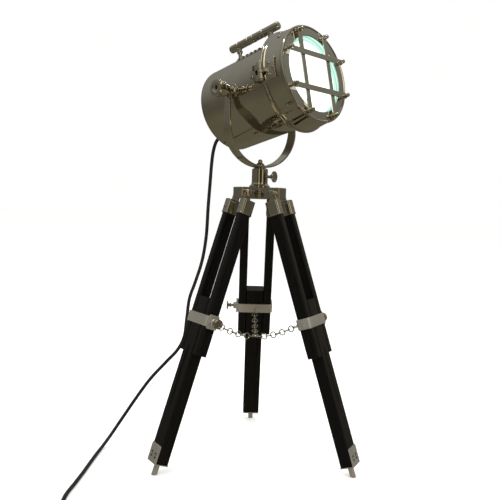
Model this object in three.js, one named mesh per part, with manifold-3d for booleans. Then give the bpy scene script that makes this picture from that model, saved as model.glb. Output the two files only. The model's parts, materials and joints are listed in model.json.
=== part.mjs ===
// A searchlight floor lamp: a polished drum head in a yoke, on a folding wooden tripod.
// Millimetres, +Z up. The lamp stands on z = 0, with the tripod's axis near the origin.
import * as THREE from "three";
import { mergeVertices } from "three/addons/utils/BufferGeometryUtils.js";
import Module from "manifold-3d";

// ---- tripod ----
const PIVOT_HEIGHT = 550; // fold pivots above the floor
const PIVOT_RADIUS = 40; // fold pivots from the tripod's axis
const FOOT_RADIUS = 225; // floor tips from the tripod's axis, legs spread
const LEG_AZIMUTHS = { rear: 89.5, left: 211, right: 330 };
const LOWER_WIDE = 37; // sliding lower leg, across the leg
const LOWER_DEEP = 25; // the same, from its outer to its inner face
const LOWER_TOP = -224; // top of the lower leg, along the leg from the pivot
const STICK_WIDE = 18;
const STICK_END = -337; // lower end of the two upper sticks
const SLIDE_GAP = 0.5; // between a stick and the lower leg
const BAND_AT = -268; // middle of the clamp band along the leg
const BAND_TALL = 21;
const BAND_WALL = 2.4;
const SHOE_PLATE = 2;
const SHOE_TALL = 36;
const TIP_LONG = 22;
const TIP_RADIUS = 5.5;
const GROOVE_TOP = -318; // stopped flute down the lower leg's outer face
const GROOVE_END = -455;
const FERRULE_TOP = -17;
const FERRULE_END = -47;
const FERRULE_WALL = 1.8;
const LUG_THICK = 6;
const LUG_RADIUS = 7.5; // of the rounded end about the pivot bolt
const BOLT_RADIUS = 4;
const LOBE_WIDE = 34; // tripod head lobe, between the ferrule lugs
const LOBE_LONG = 55;
const HEAD_TALL = 23; // tripod head casting
const CHAIN_LOW = 251; // height of the spreader chain's centre ring
const CHAIN_RING_RADIUS = 6;
const CHAIN_WIRE = 1.1;
const CHAIN_THICK = 2.6; // half thickness of an arm

// ---- socket and yoke ----
const SOCKET_RADIUS = 16.5;
const SOCKET_TALL = 38.5;
const SPIGOT_RADIUS = 7.5;
const SOCKET_SCREW_AZIMUTH = -32;
const SOCKET_SCREW_BACKED = 4.5; // the screw's tip stands off the spigot, leaving the head free to turn
const PAN = -45.5; // the head's heading from +X at rest
const TILT = 12.3; // the head's rise at rest
const TILT_HEIGHT = 746; // tilt axis above the floor
const YOKE_HALF = 97; // middle of the bar from the yoke's centre line
const YOKE_STRAIGHT = 62;
const YOKE_DROP = 80; // depth of the curved foot
const YOKE_WIDE = 21; // across the curved foot
const YOKE_NARROW = 13; // at the tilt axis
const YOKE_THICK = 4;
const YOKE_EYE = 8.5; // radius of the rounded end at the tilt axis
const KNOB_RADIUS = 17;
const KNOB_LONG = 31;
const STUD_RADIUS = 3.5;

// ---- lamp head, along its own axis from the tilt axis ----
const DRUM_RADIUS = 86;
const DRUM_WALL = 1.6;
const DRUM_BACK = -88;
const DRUM_FRONT = 92;
const FLANGE_RADIUS = 97.6;
const LOUVRE_HALF = 30; // half the length of a louvre, across the drum's top
const BEAD_RADIUS = 3;
const COVER_BACK = -96;
const BEZEL_BACK = 95.4;
const BEZEL_FRONT = 141;
const BEZEL_RADIUS = 98.6; // at its back edge
const BEZEL_NOSE_RADIUS = 92.8; // at its front edge
const LENS_OPENING = 73.5;
const LENS_BACK = 131;
const UPRIGHT_OFFSET = 37.5; // upright grille bars from the centre
const LEVEL_OFFSET = 34; // level grille bars from the centre
const BAR_REACH = 77; // grille bar ends from the centre
const BAR_WIDE = 11;
const BAR_THICK = 3;
const BAR_STAND_OFF = 3; // from the bezel's face to the upright bars
const HANDLE_HEIGHT = 126; // handle bar above the drum's axis
const HANDLE_LONG = 137;
const HANDLE_RADIUS = 8.2;
const POST_SPACING = 90;
const HINGE_ANGLE = 1; // hinge and latch above the drum's sides, in degrees
const PIN_RADIUS = 2.5;
const PIN_REACH = 106; // hinge pin from the drum's axis
const LEAF_THICK = 2.6; // of a hinge leaf, proud of the metal under it
const LEAF_HALF = 19; // half the height of a hinge leaf
const KNUCKLES_END = 15.7; // of the hinge's barrel, from its middle
const KNUCKLE_RADIUS = 5;
const GLAND_DROP = 45; // cable gland below the drum's axis

// ---- mains cord ----
const CORD_RADIUS = 3.7;
const COIL_RADIUS = 40; // middle of the coil's turns
const COIL_TURNS_WIDE = 17; // radial width of the wound turns
const COIL_TALL = 15.4;
// Route of the cord from the strain relief to the coil, about the tripod's axis.
const CORD_ROUTE = [
  [-93, 92.5, 665], [-100, 98, 645], [-103.5, 100, 618], [-106, 99, 575], [-109, 95, 520],
  [-112, 90, 450], [-120, 85, 397], [-133, 81, 353], [-145, 78, 316], [-150, 75, 272],
  [-155, 71, 230], [-168, 68, 203], [-192, 66, 176], [-226, 63, 138], [-256, 57, 96],
  [-283, 47, 55], [-305, 30, 22], [-317, 6, 7], [-322, -26, 4.2], [-325, -70, 4],
  [-328, -120, 4], [-332, -170, 4], [-339, -215, 4], [-346, -248, 4], [-353.5, -269.9, 4],
];
const COIL_CENTRE = [-374, -316.5];
const PLUG_FROM_COIL = [-24, -74];

const GAP = 0.3; // between pieces that touch
const ROUND_SIDES = 36; // facets of the drum and of all that wraps it
const LEAN = Math.atan2(FOOT_RADIUS - PIVOT_RADIUS, PIVOT_HEIGHT);
const LEG_LONG = Math.hypot(FOOT_RADIUS - PIVOT_RADIUS, PIVOT_HEIGHT);
const STICK_MID = LOWER_WIDE / 2 + SLIDE_GAP + STICK_WIDE / 2;
const SHOE_AT = -(LEG_LONG - TIP_LONG); // underside of the shoe along the leg
const WOOD_END = SHOE_AT + SHOE_PLATE + GAP;
const EYE_OUT = LOWER_DEEP / 2 + GAP + BAND_WALL + 4; // clamp band's eye, from the leg's middle
const HEAD_TOP = PIVOT_HEIGHT + HEAD_TALL / 2;
const SOCKET_BASE = HEAD_TOP + GAP;
const PIN_AT = (DRUM_FRONT + BEZEL_BACK) / 2 + 2;
const YOKE_BOTTOM = TILT_HEIGHT - YOKE_STRAIGHT - YOKE_DROP; // middle of the bar
const DEG = Math.PI / 180;

const wasm = await Module();
wasm.setup();

// ---------- solids ----------

// A geometry with shared corners merged and collapsed triangles dropped.
function clean(geometry) {
  const bare = new THREE.BufferGeometry();
  bare.setAttribute("position", geometry.getAttribute("position").clone());
  if (geometry.index) bare.setIndex(geometry.index.clone());
  const merged = mergeVertices(bare, 1e-3);
  const kept = [];
  const index = merged.index.array;
  for (let i = 0; i < index.length; i += 3) {
    const [a, b, c] = [index[i], index[i + 1], index[i + 2]];
    if (a !== b && b !== c && a !== c) kept.push(a, b, c);
  }
  merged.setIndex(kept);
  return merged;
}

function solidOf(geometry) {
  const merged = clean(geometry);
  const triVerts = new Uint32Array(merged.index.array);
  const vertProperties = merged.attributes.position.array;
  const made = new wasm.Manifold(new wasm.Mesh({ numProp: 3, vertProperties, triVerts }));
  if (made.volume() > 0) return made;
  for (let i = 0; i < triVerts.length; i += 3) {
    [triVerts[i + 1], triVerts[i + 2]] = [triVerts[i + 2], triVerts[i + 1]];
  }
  return new wasm.Manifold(new wasm.Mesh({ numProp: 3, vertProperties, triVerts }));
}

function geometryOf(solid) {
  const mesh = solid.getMesh();
  const geometry = new THREE.BufferGeometry();
  geometry.setAttribute("position", new THREE.BufferAttribute(mesh.vertProperties, 3));
  geometry.setIndex(new THREE.BufferAttribute(mesh.triVerts, 1));
  geometry.computeVertexNormals();
  return geometry;
}

function join(...geometries) {
  return geometryOf(geometries.map(solidOf).reduce((all, next) => all.add(next)));
}

function cut(geometry, ...tools) {
  return geometryOf(tools.map(solidOf).reduce((left, tool) => left.subtract(tool), solidOf(geometry)));
}

function block(x0, x1, y0, y1, z0, z1) {
  const geometry = new THREE.BoxGeometry(x1 - x0, y1 - y0, z1 - z0);
  return geometry.translate((x0 + x1) / 2, (y0 + y1) / 2, (z0 + z1) / 2);
}

// A rod along an axis, from one place on it to another.
function rod(axis, from, to, radius, sides = 12) {
  const geometry = new THREE.CylinderGeometry(radius, radius, to - from, sides);
  geometry.translate(0, (from + to) / 2, 0);
  if (axis === "x") geometry.rotateZ(-Math.PI / 2);
  if (axis === "z") geometry.rotateX(Math.PI / 2);
  return geometry;
}

// A turned shape about an axis: pairs of radius and place along it.
function turned(axis, profile, sides = 16) {
  const points = profile.map(([r, along]) => new THREE.Vector2(r, along));
  const geometry = new THREE.LatheGeometry(points, sides);
  if (axis === "x") geometry.rotateZ(-Math.PI / 2);
  if (axis === "z") geometry.rotateX(Math.PI / 2);
  return geometryOf(solidOf(geometry));
}

// Points of an arc for a turned profile.
function arc(r, along, radius, fromDeg, toDeg, steps) {
  return Array.from({ length: steps + 1 }, (_, i) => {
    const angle = (fromDeg + ((toDeg - fromDeg) * i) / steps) * DEG;
    return [r + radius * Math.cos(angle), along + radius * Math.sin(angle)];
  });
}

function roundedRectangle(x0, x1, y0, y1, radius) {
  const shape = new THREE.Shape();
  shape.absarc(x1 - radius, y1 - radius, radius, 0, Math.PI / 2);
  shape.absarc(x0 + radius, y1 - radius, radius, Math.PI / 2, Math.PI);
  shape.absarc(x0 + radius, y0 + radius, radius, Math.PI, 1.5 * Math.PI);
  shape.absarc(x1 - radius, y0 + radius, radius, 1.5 * Math.PI, 2 * Math.PI);
  shape.closePath();
  return shape;
}

// A prism that stands along z.
function prism(shape, z0, z1, curveSegments = 4) {
  const options = { depth: z1 - z0, bevelEnabled: false, curveSegments };
  return new THREE.ExtrudeGeometry(shape, options).translate(0, 0, z0);
}

function tubeAlong(curve, radius, sides, steps) {
  const section = new THREE.Shape();
  for (let i = 0; i <= sides; i++) {
    const angle = (2 * Math.PI * i) / sides;
    if (i === 0) section.moveTo(radius, 0);
    else section.lineTo(radius * Math.cos(angle), radius * Math.sin(angle));
  }
  return new THREE.ExtrudeGeometry(section, { steps, extrudePath: curve });
}

// ---------- materials ----------

function finish(color, roughness, metalness) {
  return () => new THREE.MeshStandardMaterial({ color, roughness, metalness });
}
const nickel = finish(0x8f8a7e, 0.12, 1);
const satinNickel = finish(0xaaa699, 0.3, 1);
const lacquer = finish(0x17181a, 0.28, 0);
const glass = finish(0xf4fbf6, 0.1, 0);
const mirror = finish(0xd8d8d4, 0.05, 1);
const ceramic = finish(0xe8e4da, 0.4, 0);
const rubber = finish(0x0d0d0e, 0.5, 0);

function place(group, name, geometry, material) {
  const mesh = new THREE.Mesh(clean(geometry), material());
  mesh.name = name;
  group.add(mesh);
}

// ---------- tripod head ----------

function tripodHead() {
  const lobes = Object.values(LEG_AZIMUTHS).map((azimuth) => {
    const half = LOBE_WIDE / 2;
    const lobe = block(0, LOBE_LONG, -half, half, PIVOT_HEIGHT - HEAD_TALL / 2, HEAD_TOP);
    const bolt = rod("y", -half - 1, half + 1, BOLT_RADIUS + GAP);
    return cut(lobe, bolt.translate(PIVOT_RADIUS, 0, PIVOT_HEIGHT)).rotateZ(azimuth * DEG);
  });
  return join(...lobes);
}

function headSocket() {
  const top = SOCKET_BASE + SOCKET_TALL;
  const flare = arc(SOCKET_RADIUS + 5, SOCKET_BASE + 8, 5, 270, 180, 3);
  const body = turned("z", [
    [0, SOCKET_BASE],
    [SOCKET_RADIUS + 5, SOCKET_BASE],
    ...flare,
    [SOCKET_RADIUS, top - 1],
    [SOCKET_RADIUS - 1, top],
    [0, top],
  ]);
  const bore = rod("z", SOCKET_BASE + 4, top + 1, SPIGOT_RADIUS + 0.4, 24);
  const screw = rod("x", 0, SOCKET_RADIUS + 5, 3.3, 16);
  screw.translate(0, 0, SOCKET_BASE + 22).rotateZ(SOCKET_SCREW_AZIMUTH * DEG);
  return cut(body, bore, screw);
}

// A thumbscrew along +x, with a disc head and a waisted neck.
function thumbscrew(from, headAt, headRadius) {
  const shaft = 3;
  return turned("x", [
    [0, from], [shaft - 0.6, from], [shaft, from + 0.6],
    [shaft, headAt - 5], [2.6, headAt - 2], [4.6, headAt],
    [headRadius, headAt], [headRadius, headAt + 3.2],
    [0, headAt + 3.2],
  ], 12);
}

function addStand(group) {
  place(group, "tripod_head_casting", tripodHead(), nickel);
  place(group, "head_socket", headSocket(), nickel);
  const screw = thumbscrew(SPIGOT_RADIUS + SOCKET_SCREW_BACKED, SOCKET_RADIUS + 16, 11.5);
  screw.translate(0, 0, SOCKET_BASE + 22).rotateZ(SOCKET_SCREW_AZIMUTH * DEG);
  place(group, "socket_thumbscrew", screw, nickel);
}

// ---------- legs, each in its own frame: pivot at the origin, x outwards, the leg along -z ----------

function stick(side) {
  const mid = side * STICK_MID;
  const half = STICK_WIDE / 2;
  const section = roundedRectangle(-LOWER_DEEP / 2, LOWER_DEEP / 2, mid - half, mid + half, 4.5);
  return prism(section, STICK_END, FERRULE_TOP - 4, 3);
}

function ferrule(side) {
  const inner = LOBE_WIDE / 2 + 0.6;
  const outer = STICK_MID + STICK_WIDE / 2 + FERRULE_WALL + GAP;
  const deep = LOWER_DEEP / 2 + FERRULE_WALL + GAP;
  const [near, far] = [side * inner, side * outer].sort((p, q) => p - q);
  const sleeve = prism(roundedRectangle(-deep, deep, near, far, 7), FERRULE_END, FERRULE_TOP, 3);
  const mid = side * STICK_MID;
  const half = STICK_WIDE / 2 + GAP;
  const room = LOWER_DEEP / 2 + GAP;
  const hollow = prism(
    roundedRectangle(-room, room, mid - half, mid + half, 4.5), FERRULE_END - 1, FERRULE_TOP - 4 + GAP, 3);
  const lug = join(
    block(-LUG_RADIUS, LUG_RADIUS, 0, LUG_THICK, FERRULE_TOP - 3, 0),
    rod("y", 0, LUG_THICK, LUG_RADIUS, 20));
  const reach = side > 0 ? inner : -inner - LUG_THICK;
  const bolt = rod("y", -60, 60, BOLT_RADIUS + GAP);
  return cut(join(cut(sleeve, hollow), lug.translate(0, reach, 0)), bolt);
}

function pivotBolt() {
  const half = LOBE_WIDE / 2 + 0.6 + LUG_THICK + GAP;
  const head = 7;
  return turned("y", [
    [0, -half - 3.4], [head - 2, -half - 3.4], [head, -half - 2], [head, -half],
    [BOLT_RADIUS, -half], [BOLT_RADIUS, half],
    [head, half], [head, half + 2], [head - 2, half + 3.4], [0, half + 3.4],
  ], 12);
}

function clampBand() {
  const outerY = STICK_MID + STICK_WIDE / 2 + GAP;
  const outerX = LOWER_DEEP / 2 + GAP;
  const shape = roundedRectangle(
    -outerX - BAND_WALL, outerX + BAND_WALL, -outerY - BAND_WALL, outerY + BAND_WALL, 5.5);
  shape.holes.push(roundedRectangle(-outerX, outerX, -outerY, outerY, 3.4));
  const low = BAND_AT - BAND_TALL / 2;
  const strap = prism(shape, low, low + BAND_TALL, 3);
  const wall = outerY + BAND_WALL;
  const plate = block(-11, 11, wall - 1, wall + 2.6, BAND_AT - 14, BAND_AT + 14);
  const boss = rod("y", wall, wall + 9, 7.5).translate(0, 0, BAND_AT);
  const eye = block(-outerX - BAND_WALL - 4, -outerX - 1, -2.5, 2.5, BAND_AT - 4, BAND_AT + 4);
  const bore = rod("y", outerY - 1, wall + 10, 3.4).translate(0, 0, BAND_AT);
  return cut(join(strap, plate, boss, eye), bore);
}

function clampScrew() {
  const outerY = STICK_MID + STICK_WIDE / 2 + GAP;
  const screw = thumbscrew(outerY + 0.4, outerY + BAND_WALL + 21, 9.5);
  return screw.rotateZ(Math.PI / 2).translate(0, 0, BAND_AT);
}

function lowerLeg() {
  const halfX = LOWER_DEEP / 2;
  const halfY = LOWER_WIDE / 2;
  const wood = prism(roundedRectangle(-halfX, halfX, -halfY, halfY, 1.2), WOOD_END, LOWER_TOP, 1);
  const flute = new THREE.Shape();
  const half = 5.5;
  flute.moveTo(0, GROOVE_TOP);
  flute.lineTo(half, GROOVE_TOP - 24);
  flute.lineTo(half, GROOVE_END + 24);
  flute.lineTo(0, GROOVE_END);
  flute.lineTo(-half, GROOVE_END + 24);
  flute.lineTo(-half, GROOVE_TOP - 24);
  flute.closePath();
  const groove = new THREE.ExtrudeGeometry(flute, { depth: 8, bevelEnabled: false });
  groove.rotateX(Math.PI / 2).rotateZ(Math.PI / 2);
  return cut(wood, groove.translate(halfX - 3.5, 0, 0));
}

// The shoe's outer plate, its foot bent under the wood, and the tip, cut level with the floor.
function shoe() {
  const halfX = LOWER_DEEP / 2;
  const halfY = LOWER_WIDE / 2;
  const outer = halfX + GAP;
  const plate = block(outer, outer + SHOE_PLATE, -halfY, halfY, SHOE_AT, SHOE_AT + SHOE_TALL);
  const foot = block(-halfX - 1.5, outer + 1, -halfY, halfY, SHOE_AT, SHOE_AT + SHOE_PLATE);
  const tip = rod("z", -LEG_LONG - 8, SHOE_AT + 1, TIP_RADIUS, 20);
  const floor = block(-60, 60, -60, 60, -40, 0);
  floor.rotateY(LEAN).translate(0, 0, -LEG_LONG);
  return cut(join(plate, foot, tip), floor);
}

function addLeg(group, name, azimuth) {
  const spread = new THREE.Group();
  spread.rotation.z = azimuth * DEG;
  const leg = new THREE.Group();
  leg.position.set(PIVOT_RADIUS, 0, PIVOT_HEIGHT);
  leg.rotation.y = -LEAN;
  for (const [hand, side] of [["a", 1], ["b", -1]]) {
    place(leg, `upper_stick_${name}_${hand}`, stick(side), lacquer);
    place(leg, `ferrule_${name}_${hand}`, ferrule(side), nickel);
  }
  place(leg, `pivot_bolt_${name}`, pivotBolt(), satinNickel);
  place(leg, `clamp_band_${name}`, clampBand(), satinNickel);
  place(leg, `clamp_thumbscrew_${name}`, clampScrew(), satinNickel);
  place(leg, `lower_leg_${name}`, lowerLeg(), lacquer);
  place(leg, `shoe_${name}`, shoe(), satinNickel);
  spread.add(leg);
  group.add(spread);
}

// ---------- spreader chain ----------

function addChain(group) {
  const ring = new THREE.TorusGeometry(CHAIN_RING_RADIUS, CHAIN_WIRE, 5, 16);
  place(group, "chain_centre_ring", ring.translate(0, 0, CHAIN_LOW), satinNickel);
  const from = CHAIN_RING_RADIUS + CHAIN_WIRE + GAP;
  const endR = PIVOT_RADIUS - BAND_AT * Math.sin(LEAN) - (EYE_OUT + GAP) * Math.cos(LEAN) - 1;
  const endZ = PIVOT_HEIGHT + BAND_AT * Math.cos(LEAN) - EYE_OUT * Math.sin(LEAN);
  const rise = endZ - CHAIN_LOW;
  const points = [0, 0.25, 0.5, 0.75, 1].map((t) => {
    const sag = t ** 1.6; // a hanging chain leaves the middle level and climbs to the band
    return new THREE.Vector3(from + (endR - from) * t, 0, CHAIN_LOW + rise * sag);
  });
  for (const [name, azimuth] of Object.entries(LEG_AZIMUTHS)) {
    const arm = tubeAlong(new THREE.CatmullRomCurve3(points), CHAIN_THICK, 6, 9);
    place(group, `chain_arm_${name}`, clean(arm).rotateZ(azimuth * DEG), satinNickel);
  }
}

// ---------- yoke, in the panned frame: x ahead, y to the left, z up ----------

// The bar's outline seen along y: wide at the foot, narrow at the tilt axis.
function yokeOutline() {
  const outline = new THREE.Shape();
  const [foot, neck] = [YOKE_WIDE / 2, YOKE_NARROW / 2];
  const bend = TILT_HEIGHT - YOKE_STRAIGHT;
  outline.moveTo(-foot, YOKE_BOTTOM - 20);
  outline.lineTo(foot, YOKE_BOTTOM - 20);
  outline.lineTo(foot, bend - 10);
  outline.lineTo(neck, bend + 45);
  outline.lineTo(neck, TILT_HEIGHT + 20);
  outline.lineTo(-neck, TILT_HEIGHT + 20);
  outline.lineTo(-neck, bend + 45);
  outline.lineTo(-foot, bend - 10);
  outline.closePath();
  const reach = 150;
  const options = { depth: 2 * reach, bevelEnabled: false };
  return new THREE.ExtrudeGeometry(outline, options).rotateX(Math.PI / 2).translate(0, reach, 0);
}

function yokeBar() {
  const profile = new THREE.Shape();
  const half = YOKE_THICK / 2;
  const top = TILT_HEIGHT;
  const bend = top - YOKE_STRAIGHT;
  profile.moveTo(YOKE_HALF + half, top);
  profile.absellipse(0, bend, YOKE_HALF + half, YOKE_DROP + half, 0, -Math.PI, true);
  profile.lineTo(-YOKE_HALF - half, top);
  profile.lineTo(-YOKE_HALF + half, top);
  profile.absellipse(0, bend, YOKE_HALF - half, YOKE_DROP - half, -Math.PI, 0, false);
  profile.lineTo(YOKE_HALF - half, top);
  profile.closePath();
  const options = { depth: YOKE_WIDE, bevelEnabled: false, curveSegments: 20 };
  const bent = new THREE.ExtrudeGeometry(profile, options).translate(0, 0, -YOKE_WIDE / 2);
  bent.rotateX(Math.PI / 2).rotateZ(Math.PI / 2);
  const bar = geometryOf(solidOf(bent).intersect(solidOf(yokeOutline())));
  const ends = [-1, 1].map((side) => {
    const mid = side * YOKE_HALF;
    return rod("y", mid - half, mid + half, YOKE_EYE, 20).translate(0, 0, top);
  });
  const studs = rod("y", -200, 200, STUD_RADIUS + GAP).translate(0, 0, top);
  const spigot = rod("z", YOKE_BOTTOM - 10, YOKE_BOTTOM + 10, 5.3);
  return cut(join(bar, ...ends), studs, spigot);
}

// Spigot, flange, neck through the bar and a round-headed nut, turned as one.
function yokeSpigot() {
  const under = YOKE_BOTTOM - YOKE_THICK / 2 - 0.4;
  const over = YOKE_BOTTOM + YOKE_THICK / 2 + 0.4;
  const tip = SOCKET_BASE + 5;
  return turned("z", [
    [0, tip], [SPIGOT_RADIUS - 1, tip], [SPIGOT_RADIUS, tip + 1],
    [SPIGOT_RADIUS, SOCKET_BASE + SOCKET_TALL + GAP],
    [13, SOCKET_BASE + SOCKET_TALL + GAP], [13, under], [5, under], [5, over],
    [9, over], [9, over + 3], [6.4, over + 5.2], [3.4, over + 6.2],
    ...arc(0, over + 9.2, 4, -45, 90, 5),
  ]);
}

function addYoke(group) {
  place(group, "yoke", yokeBar(), nickel);
  place(group, "yoke_spigot", yokeSpigot(), nickel);
}

// ---------- lamp head, in its own frame: x along the beam, tilt axis on y ----------

function drumShell() {
  const inner = DRUM_RADIUS - DRUM_WALL;
  const bead = arc(FLANGE_RADIUS, DRUM_FRONT - BEAD_RADIUS + 2.7, BEAD_RADIUS, -90, 90, 4);
  const shell = turned("x", [
    [inner, DRUM_BACK], [DRUM_RADIUS, DRUM_BACK],
    [DRUM_RADIUS, DRUM_FRONT - 4],
    ...bead,
    [inner, DRUM_FRONT + 2.7], [inner, DRUM_BACK],
  ], ROUND_SIDES);
  const louvres = [0, 1, 2, 3, 4, 5].map((i) => {
    const at = -34 + 11.5 * i;
    const louvre = new THREE.Shape();
    louvre.moveTo(0, 0);
    louvre.lineTo(8, 0);
    louvre.lineTo(8, 8.6);
    louvre.lineTo(7.2, 11);
    louvre.lineTo(5.4, 11);
    louvre.lineTo(0, 6.5);
    louvre.closePath();
    const pressed = new THREE.ExtrudeGeometry(louvre, { depth: 2 * LOUVRE_HALF, bevelEnabled: false });
    pressed.rotateX(Math.PI / 2).translate(at, LOUVRE_HALF, DRUM_RADIUS - 8);
    return cut(pressed, rod("x", -120, 120, DRUM_RADIUS - DRUM_WALL / 2, ROUND_SIDES));
  });
  const stud = rod("y", -100, 100, STUD_RADIUS + GAP);
  return cut(join(shell, ...louvres), stud);
}

function rearCover() {
  const edge = DRUM_RADIUS;
  const cover = turned("x", [
    [0, COVER_BACK], [edge - 12, COVER_BACK],
    ...arc(edge - 8, COVER_BACK + 7.5, 8, -80, 0, 3),
    [edge, DRUM_BACK - GAP], [edge - DRUM_WALL - GAP, DRUM_BACK - GAP],
    [edge - DRUM_WALL - GAP, DRUM_BACK + 10], [edge - DRUM_WALL - 2, DRUM_BACK + 10],
    [edge - DRUM_WALL - 5, COVER_BACK + 3], [0, COVER_BACK + 3],
  ], ROUND_SIDES);
  const gland = rod("x", COVER_BACK - 5, COVER_BACK + 10, 6.3).translate(0, 0, -GLAND_DROP);
  return cut(cover, gland);
}

// Gland with a flange outside, a tube through the cover, and a bore for the cord.
function cableGland() {
  const out = COVER_BACK - GAP;
  const body = turned("x", [
    [CORD_RADIUS + 0.4, out - 8], [7.5, out - 8], [8.5, out - 7], [8.5, out - 4],
    [10.5, out - 4], [10.5, out], [6, out], [6, out + 7],
    [CORD_RADIUS + 0.4, out + 7], [CORD_RADIUS + 0.4, out - 8],
  ]);
  return body.translate(0, 0, -GLAND_DROP);
}

function reflector() {
  const dish = (offset) => Array.from({ length: 6 }, (_, i) => {
    const r = 22 + ((80 - 22) * i) / 5;
    return [r + offset * 0.3, -50 + r * r * 0.0195 - offset];
  });
  return turned("x", [...dish(1.4), ...dish(0).reverse(), dish(1.4)[0]], 32);
}

function lampHolder() {
  const back = COVER_BACK + 3.4;
  return turned("x", [
    [0, back], [24, back], [24, back + 3], [17, back + 6], [17, back + 40],
    [14.2, back + 40], [14.2, back + 22], [0, back + 22],
  ], 20);
}

function bulb() {
  const base = COVER_BACK + 26;
  return turned("x", [
    [0, base], [12, base + 0.5], [13.2, base + 3], [13.2, base + 24], [16, base + 34],
    ...arc(0, base + 66, 29, -48, 90, 6),
  ], 16);
}

function trunnion(side) {
  const inner = YOKE_HALF - YOKE_THICK / 2 - 0.5;
  const knobEnd = YOKE_HALF + YOKE_THICK / 2 + KNOB_LONG;
  const boss = turned("y", [
    [0, 80], [13, 80], [13, DRUM_RADIUS + 2.6], [11.5, DRUM_RADIUS + 3.4],
    [8, DRUM_RADIUS + 3.8], [8, inner], [STUD_RADIUS, inner],
    [STUD_RADIUS, knobEnd - 8], [0, knobEnd - 8],
  ]);
  const shell = rod("x", -120, 120, DRUM_RADIUS + GAP, ROUND_SIDES);
  const fitted = cut(boss, shell);
  return side > 0 ? fitted : fitted.rotateZ(Math.PI);
}

function tiltKnob(side) {
  const from = YOKE_HALF + YOKE_THICK / 2 + GAP;
  const bore = STUD_RADIUS + 0.4;
  const r = KNOB_RADIUS;
  const knob = turned("y", [
    [bore, from], [10, from], [10, from + 3], [r - 4, from + 3.6], [r - 4, from + 9],
    [r - 1.6, from + 10.4], [r - 1.6, from + 15], [r - 3, from + 16], [r - 3, from + 18],
    [r - 1, from + 19], [r, from + 20.4], [r, from + KNOB_LONG - 2], [r - 1.4, from + KNOB_LONG - 0.4],
    [bore, from + KNOB_LONG - 0.4], [bore, from],
  ]);
  return side > 0 ? knob : knob.rotateZ(Math.PI);
}

function handleBar() {
  const half = HANDLE_LONG / 2;
  const r = HANDLE_RADIUS;
  const ring = (x) => [[r, x - 1.4], [r - 0.9, x], [r, x + 1.4]];
  const bar = turned("x", [
    ...arc(0, -half + r * 0.7, r, -90, 0, 3).map(([a, x]) => [a, -half + (x + half) * 0.7 + 0.7]),
    ...ring(-44), ...ring(-16), ...ring(0), ...ring(27),
    ...arc(0, half - r * 0.7, r, 0, 90, 3).map(([a, x]) => [a, half + (x - half) * 0.7 - 0.7]),
  ]);
  const holes = [-1, 1].map((end) =>
    rod("z", -20, 0, 3.3, 12).translate((end * POST_SPACING) / 2, 0, 0));
  return cut(bar, ...holes).translate(0, 0, HANDLE_HEIGHT);
}

function handlePost() {
  const under = HANDLE_HEIGHT - HANDLE_RADIUS - 0.1;
  const post = turned("z", [
    [0, 80], [9, 80], [9, DRUM_RADIUS + 3.4], [7, DRUM_RADIUS + 5], [5, DRUM_RADIUS + 8],
    [4.4, under - 9], [6, under - 7], [6, under - 4], [5, under - 1.4],
    [3, under - 1], [3, under + 5], [0, under + 5],
  ], 12);
  return cut(post, rod("x", -120, 120, DRUM_RADIUS + GAP, ROUND_SIDES));
}

// A leaf that wraps the right side of a round body.
function wrappedLeaf(x0, x1, radius) {
  const reach = 300;
  return cut(
    rod("x", x0, x1, radius + LEAF_THICK, ROUND_SIDES),
    rod("x", x0 - 1, x1 + 1, radius + GAP, ROUND_SIDES),
    block(-reach, reach, -reach, reach, LEAF_HALF, reach),
    block(-reach, reach, -reach, reach, -reach, -LEAF_HALF),
    block(-reach, reach, 0, reach, -reach, reach));
}

function knuckle(low, high) {
  return rod("z", low, high, KNUCKLE_RADIUS).translate(PIN_AT, -PIN_REACH, 0);
}

// The hinge is made at the drum's side and turned up with its pin, by the hinge's angle.
function addHinge(head) {
  const turn = -HINGE_ANGLE * DEG;
  const bore = rod("z", -40, 40, PIN_RADIUS + 0.35).translate(PIN_AT, -PIN_REACH, 0);
  const web = (x0, x1, low, high) => block(x0, x1, -PIN_REACH - 1, -PIN_REACH + 4, low, high);
  const riser = block(78, 84, -PIN_REACH - 1, -DRUM_RADIUS - 1, -KNUCKLES_END, KNUCKLES_END);
  const drumLeaf = join(
    wrappedLeaf(58, 84, DRUM_RADIUS), riser,
    web(78, PIN_AT, -KNUCKLES_END, -4.3), web(78, PIN_AT, 4.3, KNUCKLES_END),
    knuckle(-KNUCKLES_END, -4.3), knuckle(4.3, KNUCKLES_END));
  const root = block(104, 108, -PIN_REACH + 3, -BEZEL_RADIUS - 1, -3.9, 3.9);
  const bezelLeaf = join(
    wrappedLeaf(103, 126, BEZEL_RADIUS), web(PIN_AT, 108, -3.9, 3.9), root, knuckle(-3.9, 3.9));
  const headEnd = KNUCKLES_END + 3.3;
  const headStart = KNUCKLES_END + 0.5;
  const pin = turned("z", [
    [0, -headEnd], [4.2, -headEnd], [4.2, -headStart], [PIN_RADIUS, -headStart],
    [PIN_RADIUS, headStart], [4.2, headStart], [4.2, headEnd], [0, headEnd],
  ], 12).translate(PIN_AT, -PIN_REACH, 0);
  place(head, "hinge_leaf_drum", cut(drumLeaf, bore).rotateX(turn), satinNickel);
  place(head, "hinge_pin", pin.rotateX(turn), satinNickel);
  place(head, "hinge_leaf_bezel", cut(bezelLeaf, bore).rotateX(turn), satinNickel);
}

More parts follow.
